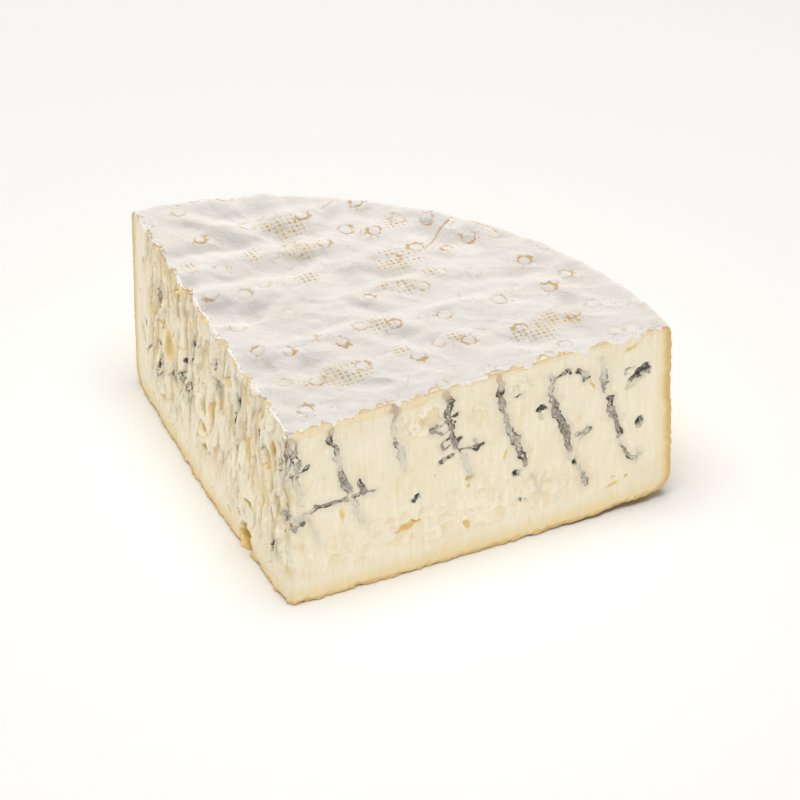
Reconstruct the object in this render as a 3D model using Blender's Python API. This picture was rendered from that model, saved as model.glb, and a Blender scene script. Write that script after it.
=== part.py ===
"""Wedge cut from a soft blue cheese wheel: one solid, origin at the middle of its underside."""
import math

import bmesh
import bpy
from mathutils import Matrix, Vector

# Whole wedge, metres and degrees. The point faces -Y, the rim faces +Y, up is +Z.
HEIGHT = 0.0546
WHEEL_RADIUS = 0.1108
SECTOR_ANGLE = 86.1
POINT_Y = -0.0563

# Rim of the wheel.
RIM_TOP_ROUND = 0.0030
RIM_FOOT_ROUND = 0.0052
RIM_SWELL = 0.0008
RIM_SWELL_HEIGHT = 0.0140

# Upright front edge where the two cut faces meet.
FRONT_EDGE_ROUND = 0.0020

# Underside: flat, and curling up a little toward the right end of the rim.
CURL_START = 0.0620
CURL_LENGTH = 0.0460
CURL_RISE = 0.0024
CURL_FADE_HEIGHT = 0.0200

# Left cut face: sagging outward low down, with shallow uneven upright ribs.
SAG_OUT = 0.0017
SAG_MIDDLE = 0.0500
SAG_SPREAD = 0.0270
SAG_TOP = 0.0420
RIB_DEPTH = 0.00022
RIB_PITCH = 0.0118
RIB_SECOND_PITCH = 0.0191
RIB_LEAN = 55.0

# Left cut face: crumb torn out just above the foot.
TEAR_MIDDLE = 0.0330
TEAR_HALF_LENGTH = 0.0085
TEAR_HEIGHT = 0.0050
TEAR_HALF_HEIGHT = 0.0050
TEAR_DEPTH = 0.0034

# Right cut face: almost flat, slightly hollow.
RIGHT_HOLLOW = 0.0004

# The two ends of each cut face stay true over these lengths.
POINT_END = 0.0060
RIM_END = 0.0080

# Rind on top: long low swells and hollows left by the draining mat.
# Each entry: sideways, from the point toward the rim, half length, half width, turn, height.
SWELLS = (
    (-0.038, 0.054, 0.0120, 0.0050, 40.0, 0.0008),
    (-0.014, 0.034, 0.0120, 0.0050, 25.0, 0.0008),
    (0.005, 0.052, 0.0100, 0.0060, 45.0, 0.0005),
    (0.024, 0.056, 0.0110, 0.0070, 30.0, 0.0004),
    (-0.043, 0.066, 0.0110, 0.0045, 50.0, 0.0005),
    (-0.019, 0.089, 0.0100, 0.0050, 80.0, 0.0007),
    (-0.007, 0.084, 0.0080, 0.0060, 0.0, 0.0005),
    (0.016, 0.082, 0.0130, 0.0050, 50.0, 0.0005),
    (0.050, 0.074, 0.0080, 0.0070, 0.0, 0.0004),
    (-0.055, 0.090, 0.0200, 0.0120, 40.0, 0.0011),
    (-0.031, 0.046, 0.0090, 0.0050, 40.0, -0.0010),
    (-0.011, 0.026, 0.0100, 0.0050, 20.0, -0.0007),
    (0.011, 0.048, 0.0070, 0.0050, 20.0, -0.0007),
    (-0.024, 0.076, 0.0080, 0.0045, 60.0, -0.0008),
    (-0.045, 0.073, 0.0080, 0.0050, 40.0, -0.0006),
    (-0.007, 0.073, 0.0130, 0.0045, 30.0, -0.0008),
    (0.018, 0.071, 0.0120, 0.0050, 50.0, -0.0005),
    (0.012, 0.095, 0.0130, 0.0070, 30.0, -0.0005),
    (0.045, 0.059, 0.0080, 0.0050, 0.0, -0.0004),
)

# Mesh density.
GRID_CELLS = 37
POINT_CROWDING = 0.28
WALL_ROWS = 7
ROUND_STEPS = 4
UNDERSIDE_MIDDLE = Vector((0.0, 0.0620, 0.0))
UNDERSIDE_SHARES = (0.90, 0.70, 0.48, 0.25)

HALF_ANGLE = math.radians(SECTOR_ANGLE / 2.0)
RIGHT_ALONG = Vector((math.sin(HALF_ANGLE), math.cos(HALF_ANGLE), 0.0))
RIGHT_OUT = Vector((math.cos(HALF_ANGLE), -math.sin(HALF_ANGLE), 0.0))
LEFT_OUT = Vector((-math.cos(HALF_ANGLE), -math.sin(HALF_ANGLE), 0.0))


def ease(value):
    """Smooth step from 0 to 1."""
    held = min(max(value, 0.0), 1.0)
    return held * held * (3.0 - 2.0 * held)


def dome(value):
    """Smooth bump of height 1 at 0, gone at 1."""
    held = min(abs(value), 1.0)
    return (1.0 - held * held) ** 2


def clear_scene():
    for obj in list(bpy.data.objects):
        bpy.data.objects.remove(obj, do_unlink=True)


def rim_levels():
    """Radius and height of the rim, from the underside to the top."""
    levels = []
    for step in range(ROUND_STEPS + 1):
        angle = math.radians(-90.0 + 90.0 * step / ROUND_STEPS)
        radius = WHEEL_RADIUS + RIM_SWELL - RIM_FOOT_ROUND * (1.0 - math.cos(angle))
        levels.append((radius, RIM_FOOT_ROUND * (1.0 + math.sin(angle))))
    wall = HEIGHT - RIM_FOOT_ROUND - RIM_TOP_ROUND
    for row in range(1, WALL_ROWS):
        height = RIM_FOOT_ROUND + wall * row / WALL_ROWS
        narrowing = ease((height - RIM_SWELL_HEIGHT) / (wall - RIM_SWELL_HEIGHT))
        levels.append((WHEEL_RADIUS + RIM_SWELL * (1.0 - narrowing), height))
    for step in range(ROUND_STEPS + 1):
        angle = math.radians(90.0 * step / ROUND_STEPS)
        radius = WHEEL_RADIUS - RIM_TOP_ROUND * (1.0 - math.cos(angle))
        levels.append((radius, HEIGHT - RIM_TOP_ROUND * (1.0 - math.sin(angle))))
    return levels


def crowd(part):
    """Grid fraction, drawn a little closer together near the point."""
    return part * (1.0 - POINT_CROWDING + POINT_CROWDING * part)


def sector_point(across, away, radius):
    """Bends a unit square into a sector: its first corner is the point of the wedge."""
    u = crowd(across)
    v = crowd(away)
    x = u * math.sqrt(1.0 - 0.5 * v * v)
    y = v * math.sqrt(1.0 - 0.5 * u * u)
    reach = radius * math.hypot(x, y)
    bearing = HALF_ANGLE - math.atan2(y, x) * SECTOR_ANGLE / 90.0
    return Vector((reach * math.sin(bearing), reach * math.cos(bearing), 0.0))


def top_relief(x, y):
    """Height of the swells over the flat top."""
    total = 0.0
    for across, away, half_length, half_width, turn, height in SWELLS:
        c = math.cos(math.radians(turn))
        s = math.sin(math.radians(turn))
        along = ((x - across) * c + (y - away) * s) / half_length
        side = (-(x - across) * s + (y - away) * c) / half_width
        total += height * math.exp(-0.5 * (along * along + side * side))
    return total


def curl(x, y):
    """Lift of the underside near the right end of the rim."""
    reach = x * RIGHT_ALONG.x + y * RIGHT_ALONG.y
    part = min(max((reach - CURL_START) / CURL_LENGTH, 0.0), 1.0)
    return CURL_RISE * part * part


def end_fade(distance):
    """Keeps both ends of a cut face in place."""
    return ease(distance / POINT_END) * ease((WHEEL_RADIUS - distance) / RIM_END)


def left_offset(distance, height):
    """Outward offset of the left cut face."""
    low = ease((SAG_TOP - height) / SAG_TOP)
    sag = SAG_OUT * low * math.exp(-0.5 * ((distance - SAG_MIDDLE) / SAG_SPREAD) ** 2)
    rib = math.sin(2.0 * math.pi * distance / RIB_PITCH + RIB_LEAN * height)
    rib += math.sin(2.0 * math.pi * distance / RIB_SECOND_PITCH - RIB_LEAN * height)
    across = (distance - TEAR_MIDDLE) / TEAR_HALF_LENGTH
    upward = (height - TEAR_HEIGHT) / TEAR_HALF_HEIGHT
    tear = TEAR_DEPTH * dome(across) * dome(upward)
    return (sag + RIB_DEPTH * rib) * end_fade(distance) - tear


def right_offset(distance, height):
    """Outward offset of the right cut face."""
    return -RIGHT_HOLLOW * math.sin(math.pi * height / HEIGHT) * end_fade(distance)


def front_edge(place, distance, side):
    """Bends the first stretch of a cut face onto the rounded front edge."""
    reach = FRONT_EDGE_ROUND / math.tan(HALF_ANGLE)
    if distance >= reach:
        return place
    turn = (math.pi / 2.0 - HALF_ANGLE) * distance / reach
    middle_y = FRONT_EDGE_ROUND / math.sin(HALF_ANGLE)
    bent_x = side * FRONT_EDGE_ROUND * math.sin(turn)
    return Vector((bent_x, middle_y - FRONT_EDGE_ROUND * math.cos(turn), 0.0))


def wall_point(across, away, radius, height):
    """Place on the outside of the wedge at one level, before the move to the origin."""
    place = sector_point(across, away, radius)
    distance = place.length
    relief = top_relief(place.x, place.y) * ease(2.0 * height / HEIGHT - 1.0)
    lift = curl(place.x, place.y) * ease(1.0 - height / CURL_FADE_HEIGHT)
    if across == 0.0:
        place = front_edge(place, distance, -1.0) + LEFT_OUT * left_offset(distance, height)
    elif away == 0.0:
        place = front_edge(place, distance, 1.0) + RIGHT_OUT * right_offset(distance, height)
    place.z = height + relief + lift
    return place


def underside_point(across, away, radius, share):
    """Place on the underside, a share of the way out from its middle to the foot."""
    foot = wall_point(across, away, radius, 0.0)
    foot.z = 0.0
    place = UNDERSIDE_MIDDLE + (foot - UNDERSIDE_MIDDLE) * share
    place.z = curl(place.x, place.y)
    return place


def extrude_ring(bm, edges, level):
    """Extrudes an open edge loop to the given level of the unit block."""
    made = bmesh.ops.extrude_edge_only(bm, edges=edges)["geom"]
    for vert in (item for item in made if isinstance(item, bmesh.types.BMVert)):
        vert.co.z = level
    return [item for item in made if isinstance(item, bmesh.types.BMEdge)]


def unit_block(level_count):
    """Closed block of whole-number levels over a unit square; the underside has levels below 0."""
    bm = bmesh.new()
    place = Matrix.Translation((0.5, 0.5, level_count - 1))
    bmesh.ops.create_grid(bm, x_segments=GRID_CELLS, y_segments=GRID_CELLS, size=0.5, matrix=place)
    edges = [edge for edge in bm.edges if edge.is_boundary]
    for level in range(level_count - 2, -len(UNDERSIDE_SHARES) - 1, -1):
        edges = extrude_ring(bm, edges, level)
    bmesh.ops.contextual_create(bm, geom=edges)
    return bm


def shape_wedge():
    """Bends the unit block into the wedge."""
    levels = rim_levels()
    bm = unit_block(len(levels))
    for vert in bm.verts:
        across = round(vert.co.x * GRID_CELLS) / GRID_CELLS
        away = round(vert.co.y * GRID_CELLS) / GRID_CELLS
        level = round(vert.co.z)
        radius, height = levels[max(level, 0)]
        if level >= 0:
            vert.co = wall_point(across, away, radius, height)
        else:
            vert.co = underside_point(across, away, radius, UNDERSIDE_SHARES[-level - 1])
        vert.co.y += POINT_Y
    bmesh.ops.recalc_face_normals(bm, faces=bm.faces[:])
    return bm


def make_material():
    """Cream paste."""
    material = bpy.data.materials.new("cheese")
    material.use_nodes = True
    shader = material.node_tree.nodes["Principled BSDF"]
    shader.inputs["Base Color"].default_value = (0.80, 0.72, 0.52, 1.0)
    shader.inputs["Roughness"].default_value = 0.60
    shader.inputs["Metallic"].default_value = 0.0
    return material


def make_wedge():
    bm = shape_wedge()
    mesh = bpy.data.meshes.new("cheese_wedge")
    bm.to_mesh(mesh)
    bm.free()
    mesh.materials.append(make_material())
    wedge = bpy.data.objects.new("cheese_wedge", mesh)
    bpy.context.collection.objects.link(wedge)


clear_scene()
make_wedge()
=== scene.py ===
"""Blue cheese wedge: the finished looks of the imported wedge, laid out as an add-on and run as a script."""
import itertools
import math

import bmesh
import bpy
import numpy as np
from bpy.props import FloatProperty, FloatVectorProperty, PointerProperty
from mathutils import Euler, Matrix, Vector


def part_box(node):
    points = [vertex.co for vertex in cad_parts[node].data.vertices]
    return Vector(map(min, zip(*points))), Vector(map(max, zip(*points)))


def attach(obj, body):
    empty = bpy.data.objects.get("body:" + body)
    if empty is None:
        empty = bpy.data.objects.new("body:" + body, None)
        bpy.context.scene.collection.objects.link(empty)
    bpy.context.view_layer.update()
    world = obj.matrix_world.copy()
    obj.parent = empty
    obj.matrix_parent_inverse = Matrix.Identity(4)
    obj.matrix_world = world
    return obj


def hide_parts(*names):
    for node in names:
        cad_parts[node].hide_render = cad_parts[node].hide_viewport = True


bl_info = {
    "name": "Blue Cheese Wedge",
    "version": (1, 0, 0),
    "blender": (4, 5, 0),
    "location": "View3D > Sidebar > Cheese",
    "description": "Models and colours a wedge cut from a soft blue cheese wheel",
    "category": "Object",
}

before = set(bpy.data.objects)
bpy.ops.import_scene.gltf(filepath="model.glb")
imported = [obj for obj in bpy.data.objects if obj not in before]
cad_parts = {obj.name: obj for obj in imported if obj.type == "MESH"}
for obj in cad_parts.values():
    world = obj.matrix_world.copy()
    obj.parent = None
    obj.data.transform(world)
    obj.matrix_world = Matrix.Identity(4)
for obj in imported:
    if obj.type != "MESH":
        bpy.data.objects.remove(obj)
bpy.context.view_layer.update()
CAD_LOW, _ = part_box("cheese_wedge")
NODE = "cheese_wedge"
MM = 0.001


# ---------------------------------------------------------------- settings

def length(label, about, value):
    return FloatProperty(name=label, description=about, default=value, unit="LENGTH", precision=5)


def colour(label, about, value):
    return FloatVectorProperty(name=label, description=about, default=value, subtype="COLOR", size=3)


def angle(label, about, degrees):
    return FloatProperty(name=label, description=about, default=math.radians(degrees), unit="ROTATION")


class WedgeForm(bpy.types.PropertyGroup):
    """Sizes of the wedge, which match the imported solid"""

    height: length("Height", "Height of the flat top over the underside", 54.6 * MM)
    radius: length("Radius", "Radius of the wheel at its shoulder", 110.8 * MM)
    sector: angle("Sector", "Angle between the two cut faces", 86.1)
    front_round: length("Front edge", "Radius of the upright edge between the cut faces", 2.0 * MM)
    rim_top_round: length("Rim top", "Radius of the rim's upper edge", 3.0 * MM)
    rim_foot_round: length("Rim foot", "Radius of the rim's lower edge", 5.2 * MM)
    rim_swell: length("Rim swell", "How far the rim stands out low down", 0.8 * MM)
    rind_thickness: length("Rind", "Thickness of the white rind", 0.9 * MM)


class CheeseColours(bpy.types.PropertyGroup):
    """Colours of paste, crust, veins and rind"""

    paste: colour("Paste", "Cream paste", (0.84, 0.77, 0.60))
    # Warm paste is also painted shade in the hollows of the cut faces, and light paste is also a painted
    # highlight on their raised parts.
    paste_warm: colour("Warm paste", "Deeper paste in hollows and near the crust", (0.76, 0.60, 0.335))
    paste_light: colour("Light paste", "Raised smears", (0.90, 0.83, 0.67))
    crust: colour("Crust", "Browned rim and foot", (0.66, 0.41, 0.12))
    crust_gold: colour("Gold", "Golden paste beside the crust", (0.81, 0.64, 0.31))
    vein_dark: colour("Vein edge", "Dark edge of a vein", (0.070, 0.052, 0.036))
    vein_grey: colour("Vein grey", "Grey mould inside a vein", (0.31, 0.27, 0.23))
    vein_pale: colour("Vein pale", "Pale mould inside a vein", (0.63, 0.585, 0.50))
    halo: colour("Vein halo", "Paste stained beside a vein", (0.62, 0.56, 0.44))
    rust: colour("Rust", "Pinkish tan where a vein meets the rind", (0.60, 0.42, 0.26))
    hole_dark: colour("Hole", "Dark green inside of a mould hole", (0.030, 0.030, 0.018))
    hole_pale: colour("Hole rim", "Pale green mould round a hole", (0.57, 0.55, 0.43))
    # Ochre of the real hollows, also laid into the deepest low places of the cut faces as painted shade.
    hollow: colour("Hollow", "Ochre inside of a small hollow", (0.78, 0.58, 0.20))
    bloom: colour("Bloom", "White velvety rind", (0.85, 0.815, 0.775))
    bloom_shade: colour("Bloom shade", "Thin rind, a little pink", (0.78, 0.705, 0.61))
    mat_print: colour("Mat print", "Tan where the draining mat pressed", (0.62, 0.43, 0.19))
    mat_stain: colour("Mat stain", "Cream between the printed dots", (0.72, 0.62, 0.43))


class StageSetup(bpy.types.PropertyGroup):
    """Camera and floor"""

    azimuth: angle("Azimuth", "Turn of the camera round the wedge", 20.4)
    elevation: angle("Elevation", "Height of the camera over the floor", 34.95)
    distance: length("Distance", "From the camera to what it looks at", 1650.0 * MM)
    lens: FloatProperty(name="Lens", description="Focal length in millimetres", default=290.1)
    floor: colour("Floor", "Pale floor", (0.97, 0.97, 0.96))


# ---------------------------------------------------------------- numbers over arrays

# Cells along a noise table before it repeats, and the gap in millimetres given where no mark is near.
NOISE_CELLS = 128
FAR = 9.0


def ease(value):
    """Smooth step from 0 to 1."""
    held = np.clip(value, 0.0, 1.0)
    return held * held * (3.0 - 2.0 * held)


def dome(value):
    """Smooth bump, 1 at 0 and gone at 1."""
    held = np.minimum(np.abs(value), 1.0)
    return (1.0 - held * held) ** 2


def unevenness(x, y, seed, octaves=1):
    """Smooth unevenness between about -1 and 1, one bump a unit. Each pattern has a seed of its own."""
    x, y = np.broadcast_arrays(np.asarray(x, dtype=float), y)
    total = np.zeros(x.shape)
    weight, reach = 1.0, 0.0
    for octave in range(octaves):
        table = np.random.default_rng(seed + 17 * octave).uniform(-1.0, 1.0, (NOISE_CELLS, NOISE_CELLS))
        left, below = np.floor(x).astype(int), np.floor(y).astype(int)
        part_x, part_y = ease(x - left), ease(y - below)
        left, below = left % NOISE_CELLS, below % NOISE_CELLS
        right, above = (left + 1) % NOISE_CELLS, (below + 1) % NOISE_CELLS
        near = table[left, below] * (1 - part_x) + table[right, below] * part_x
        far = table[left, above] * (1 - part_x) + table[right, above] * part_x
        total += weight * (near * (1 - part_y) + far * part_y)
        reach += weight
        weight *= 0.5
        x, y = x * 2.03 + 11.7, y * 2.03 + 5.3
    return total / reach


def gap_to_lines(x, y, lines):
    """Signed gap in millimetres from the edge of the nearest line, and that line's darkness there."""
    gap = np.full(x.shape, FAR)
    dark = np.zeros(x.shape)
    for line in lines:
        for (x0, y0, w0, d0), (x1, y1, w1, d1) in zip(line, line[1:]):
            run_x, run_y = x1 - x0, y1 - y0
            part = np.clip(((x - x0) * run_x + (y - y0) * run_y) / (run_x ** 2 + run_y ** 2), 0.0, 1.0)
            away = np.hypot(x - x0 - part * run_x, y - y0 - part * run_y) - (w0 + part * (w1 - w0))
            closer = away < gap
            gap = np.where(closer, away, gap)
            dark = np.where(closer, d0 + part * (d1 - d0), dark)
    return gap, dark


def oval_frame(x, y, middle_x, middle_y, half_length, half_width, turn):
    """Places along and across a turned oval, 1 at its edge."""
    c, s = math.cos(math.radians(turn)), math.sin(math.radians(turn))
    along = ((x - middle_x) * c + (y - middle_y) * s) / half_length
    side = (-(x - middle_x) * s + (y - middle_y) * c) / half_width
    return along, side


def gap_to_ovals(x, y, ovals):
    """Signed gap in millimetres from the nearest oval's edge, and the sunk depth there."""
    gap = np.full(x.shape, FAR)
    sunk = np.zeros(x.shape)
    for across, up, half_length, half_height, turn, depth in ovals:
        reach = np.hypot(*oval_frame(x, y, across, up, half_length, half_height, turn))
        gap = np.minimum(gap, (reach - 1.0) * min(half_length, half_height))
        sunk = np.maximum(sunk, depth * ease((1.25 - reach) / 0.75))
    return gap, sunk


# ---------------------------------------------------------------- form of the wedge, millimetres

# Slopes of the pressed and risen top: sideways, from the point toward the rim, half length, half width,
# turn in degrees, steepness. Above 0 the slope falls toward the point, below 0 toward the rim.
SLOPES = (
    (-59, 80, 4.5, 2.2, 0, 1.0), (-54, 88, 6, 3, 10, 1.0), (-46, 94.5, 3.2, 4.2, 0, 0.9),
    (-45, 77.5, 5.5, 3.8, 5, 1.0), (-56, 68, 5, 3, 40, 0.9), (-49.5, 56, 2.5, 3, 0, 0.9),
    (-38.5, 47, 4, 4.2, 20, 1.1), (-28.5, 51, 2.6, 5, 0, 1.0), (-33.5, 51, 4, 3.5, 30, 0.5),
    (-35.5, 69, 5.5, 3.6, 20, 0.6), (-43.5, 61.5, 4, 2, 25, 0.4), (-26, 76.5, 2.6, 4.2, 0, 1.0),
    (-21, 81.7, 3.5, 2.5, 30, 0.9), (-36.7, 87, 2.6, 4.2, 0, 1.0), (-28.6, 90, 3.4, 4.2, 0, 0.8),
    (-27, 98.4, 2.6, 3.5, 0, 1.0), (-19, 103, 3, 3.2, 0, 0.5), (-13, 75, 4, 4.6, 10, 0.55),
    (-5, 77.7, 2.8, 2.2, 0, 0.9), (2, 81, 2.6, 2.2, 20, 0.6), (-6, 84, 3, 2.6, 0, 0.5),
    (-1, 103.4, 2.6, 3.8, 0, 1.0), (5, 100, 2.5, 3, 0, 0.5), (11.5, 102, 4, 3.6, 0, 0.9),
    (8.3, 92.7, 2, 2.4, 0, 0.5), (-3.6, 61.5, 4.5, 2.2, 0, 0.9), (2, 61.5, 2.6, 2.2, 0, 0.5),
    (10.7, 52.7, 4.4, 3.2, 0, 1.0), (8, 71.5, 3, 3.6, 20, 0.5), (-3, 42.7, 2, 1.6, 0, 0.5),
    (4, 44.6, 3, 3, 0, 0.35), (-18.3, 27.7, 3.6, 4.4, 0, 1.0), (-7.6, 32, 2.6, 4.6, 0, 0.9),
    (8.3, 29.6, 5, 3, 10, 0.6), (-19, 21.5, 1.6, 2, 0, 0.4), (-3.4, 21.5, 1.6, 2, 0, 0.4),
    (19.5, 66, 2.2, 2.4, 0, 0.5), (29.5, 68.4, 2.6, 4.2, 0, 0.55), (29.5, 55.5, 2.5, 2, 0, 0.5),
    (42, 62.7, 4.5, 3, 0, 0.6), (54.5, 72, 4, 3.4, 0, 0.6), (46.4, 82.7, 2.6, 3.4, 0, 0.7),
    (39.5, 85, 3, 4, 0, 0.35), (42, 94, 9, 3, -25, 0.5), (31, 95, 4, 4.6, 20, 0.5),
    (19, 97.7, 3, 4.6, 0, 0.3), (-11.7, 91.5, 2.5, 4, 0, 0.3), (18, 83, 4, 4, 20, 0.25),
    (25.7, 51.5, 3, 3, 0, 0.25), (11.4, 14.6, 1.4, 1.4, 0, 0.6), (1.4, 8.4, 2, 2, 0, 0.5),
    (-23, 91, 6, 1.8, 88, -0.9), (-23, 72, 5, 1.8, 75, -0.8), (-38, 59, 10, 2.0, 38, -1.0),
    (-47, 71, 7, 1.6, 30, -0.8), (-33.5, 79, 3, 3, 0, -0.8), (-32, 41.5, 6, 1.6, 30, -0.8),
    (-24, 53, 5, 1.5, 80, -0.7), (-6, 48, 12, 2.0, 47, -0.6), (1, 76, 12, 1.8, 48, -0.7),
    (17, 70, 10, 1.7, 45, -0.6), (16, 53, 4, 1.5, 55, -0.6), (27, 86, 6, 1.7, 35, -0.6),
    (47, 60, 7, 2, 20, -0.5), (17, 29, 4, 1.6, 50, -0.5), (-5, 10, 4, 2, -10, -0.8),
    (-2.5, 27, 5, 1.5, 85, -0.5), (34, 72, 5, 1.6, 85, -0.4), (25, 59, 8, 2, 62, -0.35),
    (-16, 95, 4, 1.6, 60, -0.4), (-11, 84, 4, 1.6, 70, -0.4), (-52, 82.5, 5, 1.5, 5, -0.5),
    (-14, 57, 8, 2.5, 45, -0.3), (12, 41, 6, 2, 60, -0.4), (-13, 18, 4, 2, 20, -0.5),
)

# Broad forms under them, told by their half length. Their last number is a height, not a steepness.
BROAD = ((-55, 90, 20, 13, 40, 1.0), (12, 96, 14, 13, 30, -0.5), (4, 52, 13, 13, 45, 0.3))
BROAD_FROM = 13
STEEPNESS = 0.38

# The lifted underside near the right end of the rim, and the soft sag of the left face.
CURL_START, CURL_LENGTH, CURL_RISE, CURL_FADE = 62.0, 46.0, 2.4, 20.0
SAG_OUT, SAG_MIDDLE, SAG_SPREAD, SAG_TOP = 1.7, 50.0, 27.0, 42.0

# Both ends of a cut face are held in place over these lengths.
POINT_END, RIM_END = 6.0, 8.0

# The left end of the rim leans out by this much, over this much of the rim. Scallops fade out near its top.
FLARE, FLARE_REACH = 1.7, 26.0
SCALLOP_TOP = 52.5

# The tear at the foot of the left face, and the white flap over it, as an oval like the holes below.
TEAR_PLACE, TEAR_WIDTH, TEAR_HEIGHT, TEAR_TALL, TEAR_DEPTH = 30.5, 4.6, 1.6, 4.8, 3.6
FLAP = (33.0, 6.8, 3.0, 1.2, 10, 0.0)

# Veins on the right cut face: from the front edge, height, half width, darkness.
RIGHT_VEINS = (
    ((0.5, 52, .7, .2), (1, 49, 1.1, .45), (1.4, 46, 1.2, .6), (2.5, 43.5, 1.2, .65), (1.5, 40, .8, .4),
     (2, 37.5, 1.1, .25), (3.2, 34.5, 1, .2), (3.8, 31, .9, .25)),
    ((0, 41, .4, .7), (2, 41.2, .4, .7), (3.8, 41.6, .5, .8), (4.8, 42.8, .4, .5)),
    ((0, 27.5, 1.1, .35), (2.5, 26.2, 1.4, .40), (5.5, 27.5, .9, .35), (8, 28.8, .5, .5), (11, 28.6, .5, .9),
     (14, 28.3, .5, .8), (17, 28.6, .4, .5), (20.5, 29.3, .6, .8), (22, 28.6, .7, .9), (24.5, 28.4, .4, .6)),
    ((5, 26.5, .6, .3), (6.2, 24, .6, .2), (7, 20, .9, .15), (8.5, 17, 1, .1)),
    ((0.4, 24.5, .7, .5), (2.2, 23.6, .4, .7), (3.6, 24.8, .4, .5), (4.6, 26.8, .4, .6)),
    ((12.3, 51.5, .9, .3), (12, 49.5, .8, .6), (12.8, 47.8, .7, .9), (14, 46, .5, .7), (13.8, 43, 1, .35),
     (14.2, 40.5, .8, .25), (15, 38, .9, .5), (15.3, 35.5, 1, .95), (16.3, 33, 1.3, .8), (17, 31.5, 1, .5),
     (17.8, 29, .6, .3), (18.7, 26, .7, .3), (20, 23, .9, .3), (21, 20, .7, .2)),
    ((20, 33, .6, .7), (20.8, 31, .8, .9), (22, 28.8, 1, .8)),
    ((30, 54, .7, .4), (30, 50.2, .6, .7), (29.6, 47.5, .9, .3), (30, 44, .8, .2), (31, 41.8, .7, .8),
     (32.2, 40, 1.1, .35), (32.3, 37, 1, .3), (33.5, 34, .7, .2), (34, 32, .5, .2)),
    ((45.3, 53, .8, .2), (45.8, 50, .6, .7), (45, 47.5, .9, .9), (46, 45, .8, .9), (46.3, 42, .8, .8),
     (47, 39, .8, .9), (48, 36.5, .9, .95), (48.8, 34.3, .6, .8), (50.3, 32, .6, .3), (51.3, 28, .9, .25),
     (52.5, 24.5, .7, .3)),
    ((45, 44.2, .3, .8), (42, 43.6, .35, .8), (41.8, 41.5, .4, .8), (43.6, 40.3, .4, .7), (45.6, 41, .3, .7)),
    ((46.5, 38.6, .3, .7), (44, 37.4, .4, .9), (44.2, 35.3, .4, .8), (46.4, 36, .4, .8)),
    ((48.5, 34.2, .5, .8), (51.5, 33.4, .4, .7), (54, 33, .8, .9), (55.8, 33.4, .5, .9)),
    ((54.3, 33.5, .6, .6), (53.6, 36, .5, .3)),
    ((46.3, 45, .3, .6), (48, 45.6, .3, .7)),
    ((48, 37.3, .3, .6), (49.7, 37.2, .3, .7)),
    ((60.5, 54, .7, .15), (60.7, 50.5, .7, .5), (60.8, 47.5, .8, .9), (61.8, 44.5, 1, .7), (62, 41.5, .9, .7),
     (63, 38.5, 1.1, .6), (63.3, 36.3, .7, .6), (64.5, 33.8, .8, .5), (65.6, 31.5, 1, .6), (66.7, 29, .9, .7),
     (67.4, 26.5, 1, .9), (68, 25, .7, .9), (67.7, 23, .5, .6)),
    ((70.5, 19, .4, .3), (72, 16, .7, .2), (73, 12.5, .5, .15)),
    ((65, 46.3, .25, .6), (66.5, 46, .25, .6)),
    ((75, 49, .7, .3), (75.7, 47, .7, .5), (76.2, 44.5, .7, .6), (75.5, 43, .5, .6), (77, 40, 1, .8),
     (77, 37.5, 1.1, .9), (78.3, 35, 1.2, .85), (79.4, 32, 1.2, .9), (80.3, 29, 1.3, 1), (81, 26.5, 1, 1),
     (81.3, 24.5, .7, .8), (82, 21.5, .8, .2), (84.5, 17, .6, .3), (86, 14.5, .8, .5), (86.6, 12.3, .7, .7),
     (86.3, 10.5, .4, .4)),
    ((76.5, 47.6, .25, .7), (78, 48.2, .25, .8), (80, 49.3, .3, .9), (81.2, 48.4, .25, .8)),
    ((83.4, 48.2, .4, .8), (85, 47.2, .6, .5), (86.5, 46, 1.2, .35), (86, 44.9, .9, .9)),
    ((83.5, 27.8, .3, .5), (85.5, 28.2, .5, .4), (87.3, 28.4, .4, .5), (85.3, 26, .5, .25)),
    ((90.5, 50, .6, .15), (91, 47, .8, .2), (91.3, 44, .9, .4), (92, 41.5, 1, .7), (91.6, 39.7, .8, .8),
     (92.2, 38.3, .3, .5)),
    ((92.8, 36.8, 1, .9), (93.5, 34, 1, .7), (94.3, 31, 1.1, .7), (95.2, 29, 1, .9), (95.4, 27, .8, .8),
     (96, 25, .8, .95), (95.9, 23, .4, .5)),
    ((96.8, 21.5, .7, .15), (97.5, 19, .6, .8), (97.9, 17, .6, .6), (99.2, 15.4, .6, .6), (101, 14.4, .6, .5),
     (101.9, 15.5, .5, .4), (101.5, 17, .4, .3)),
)

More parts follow.
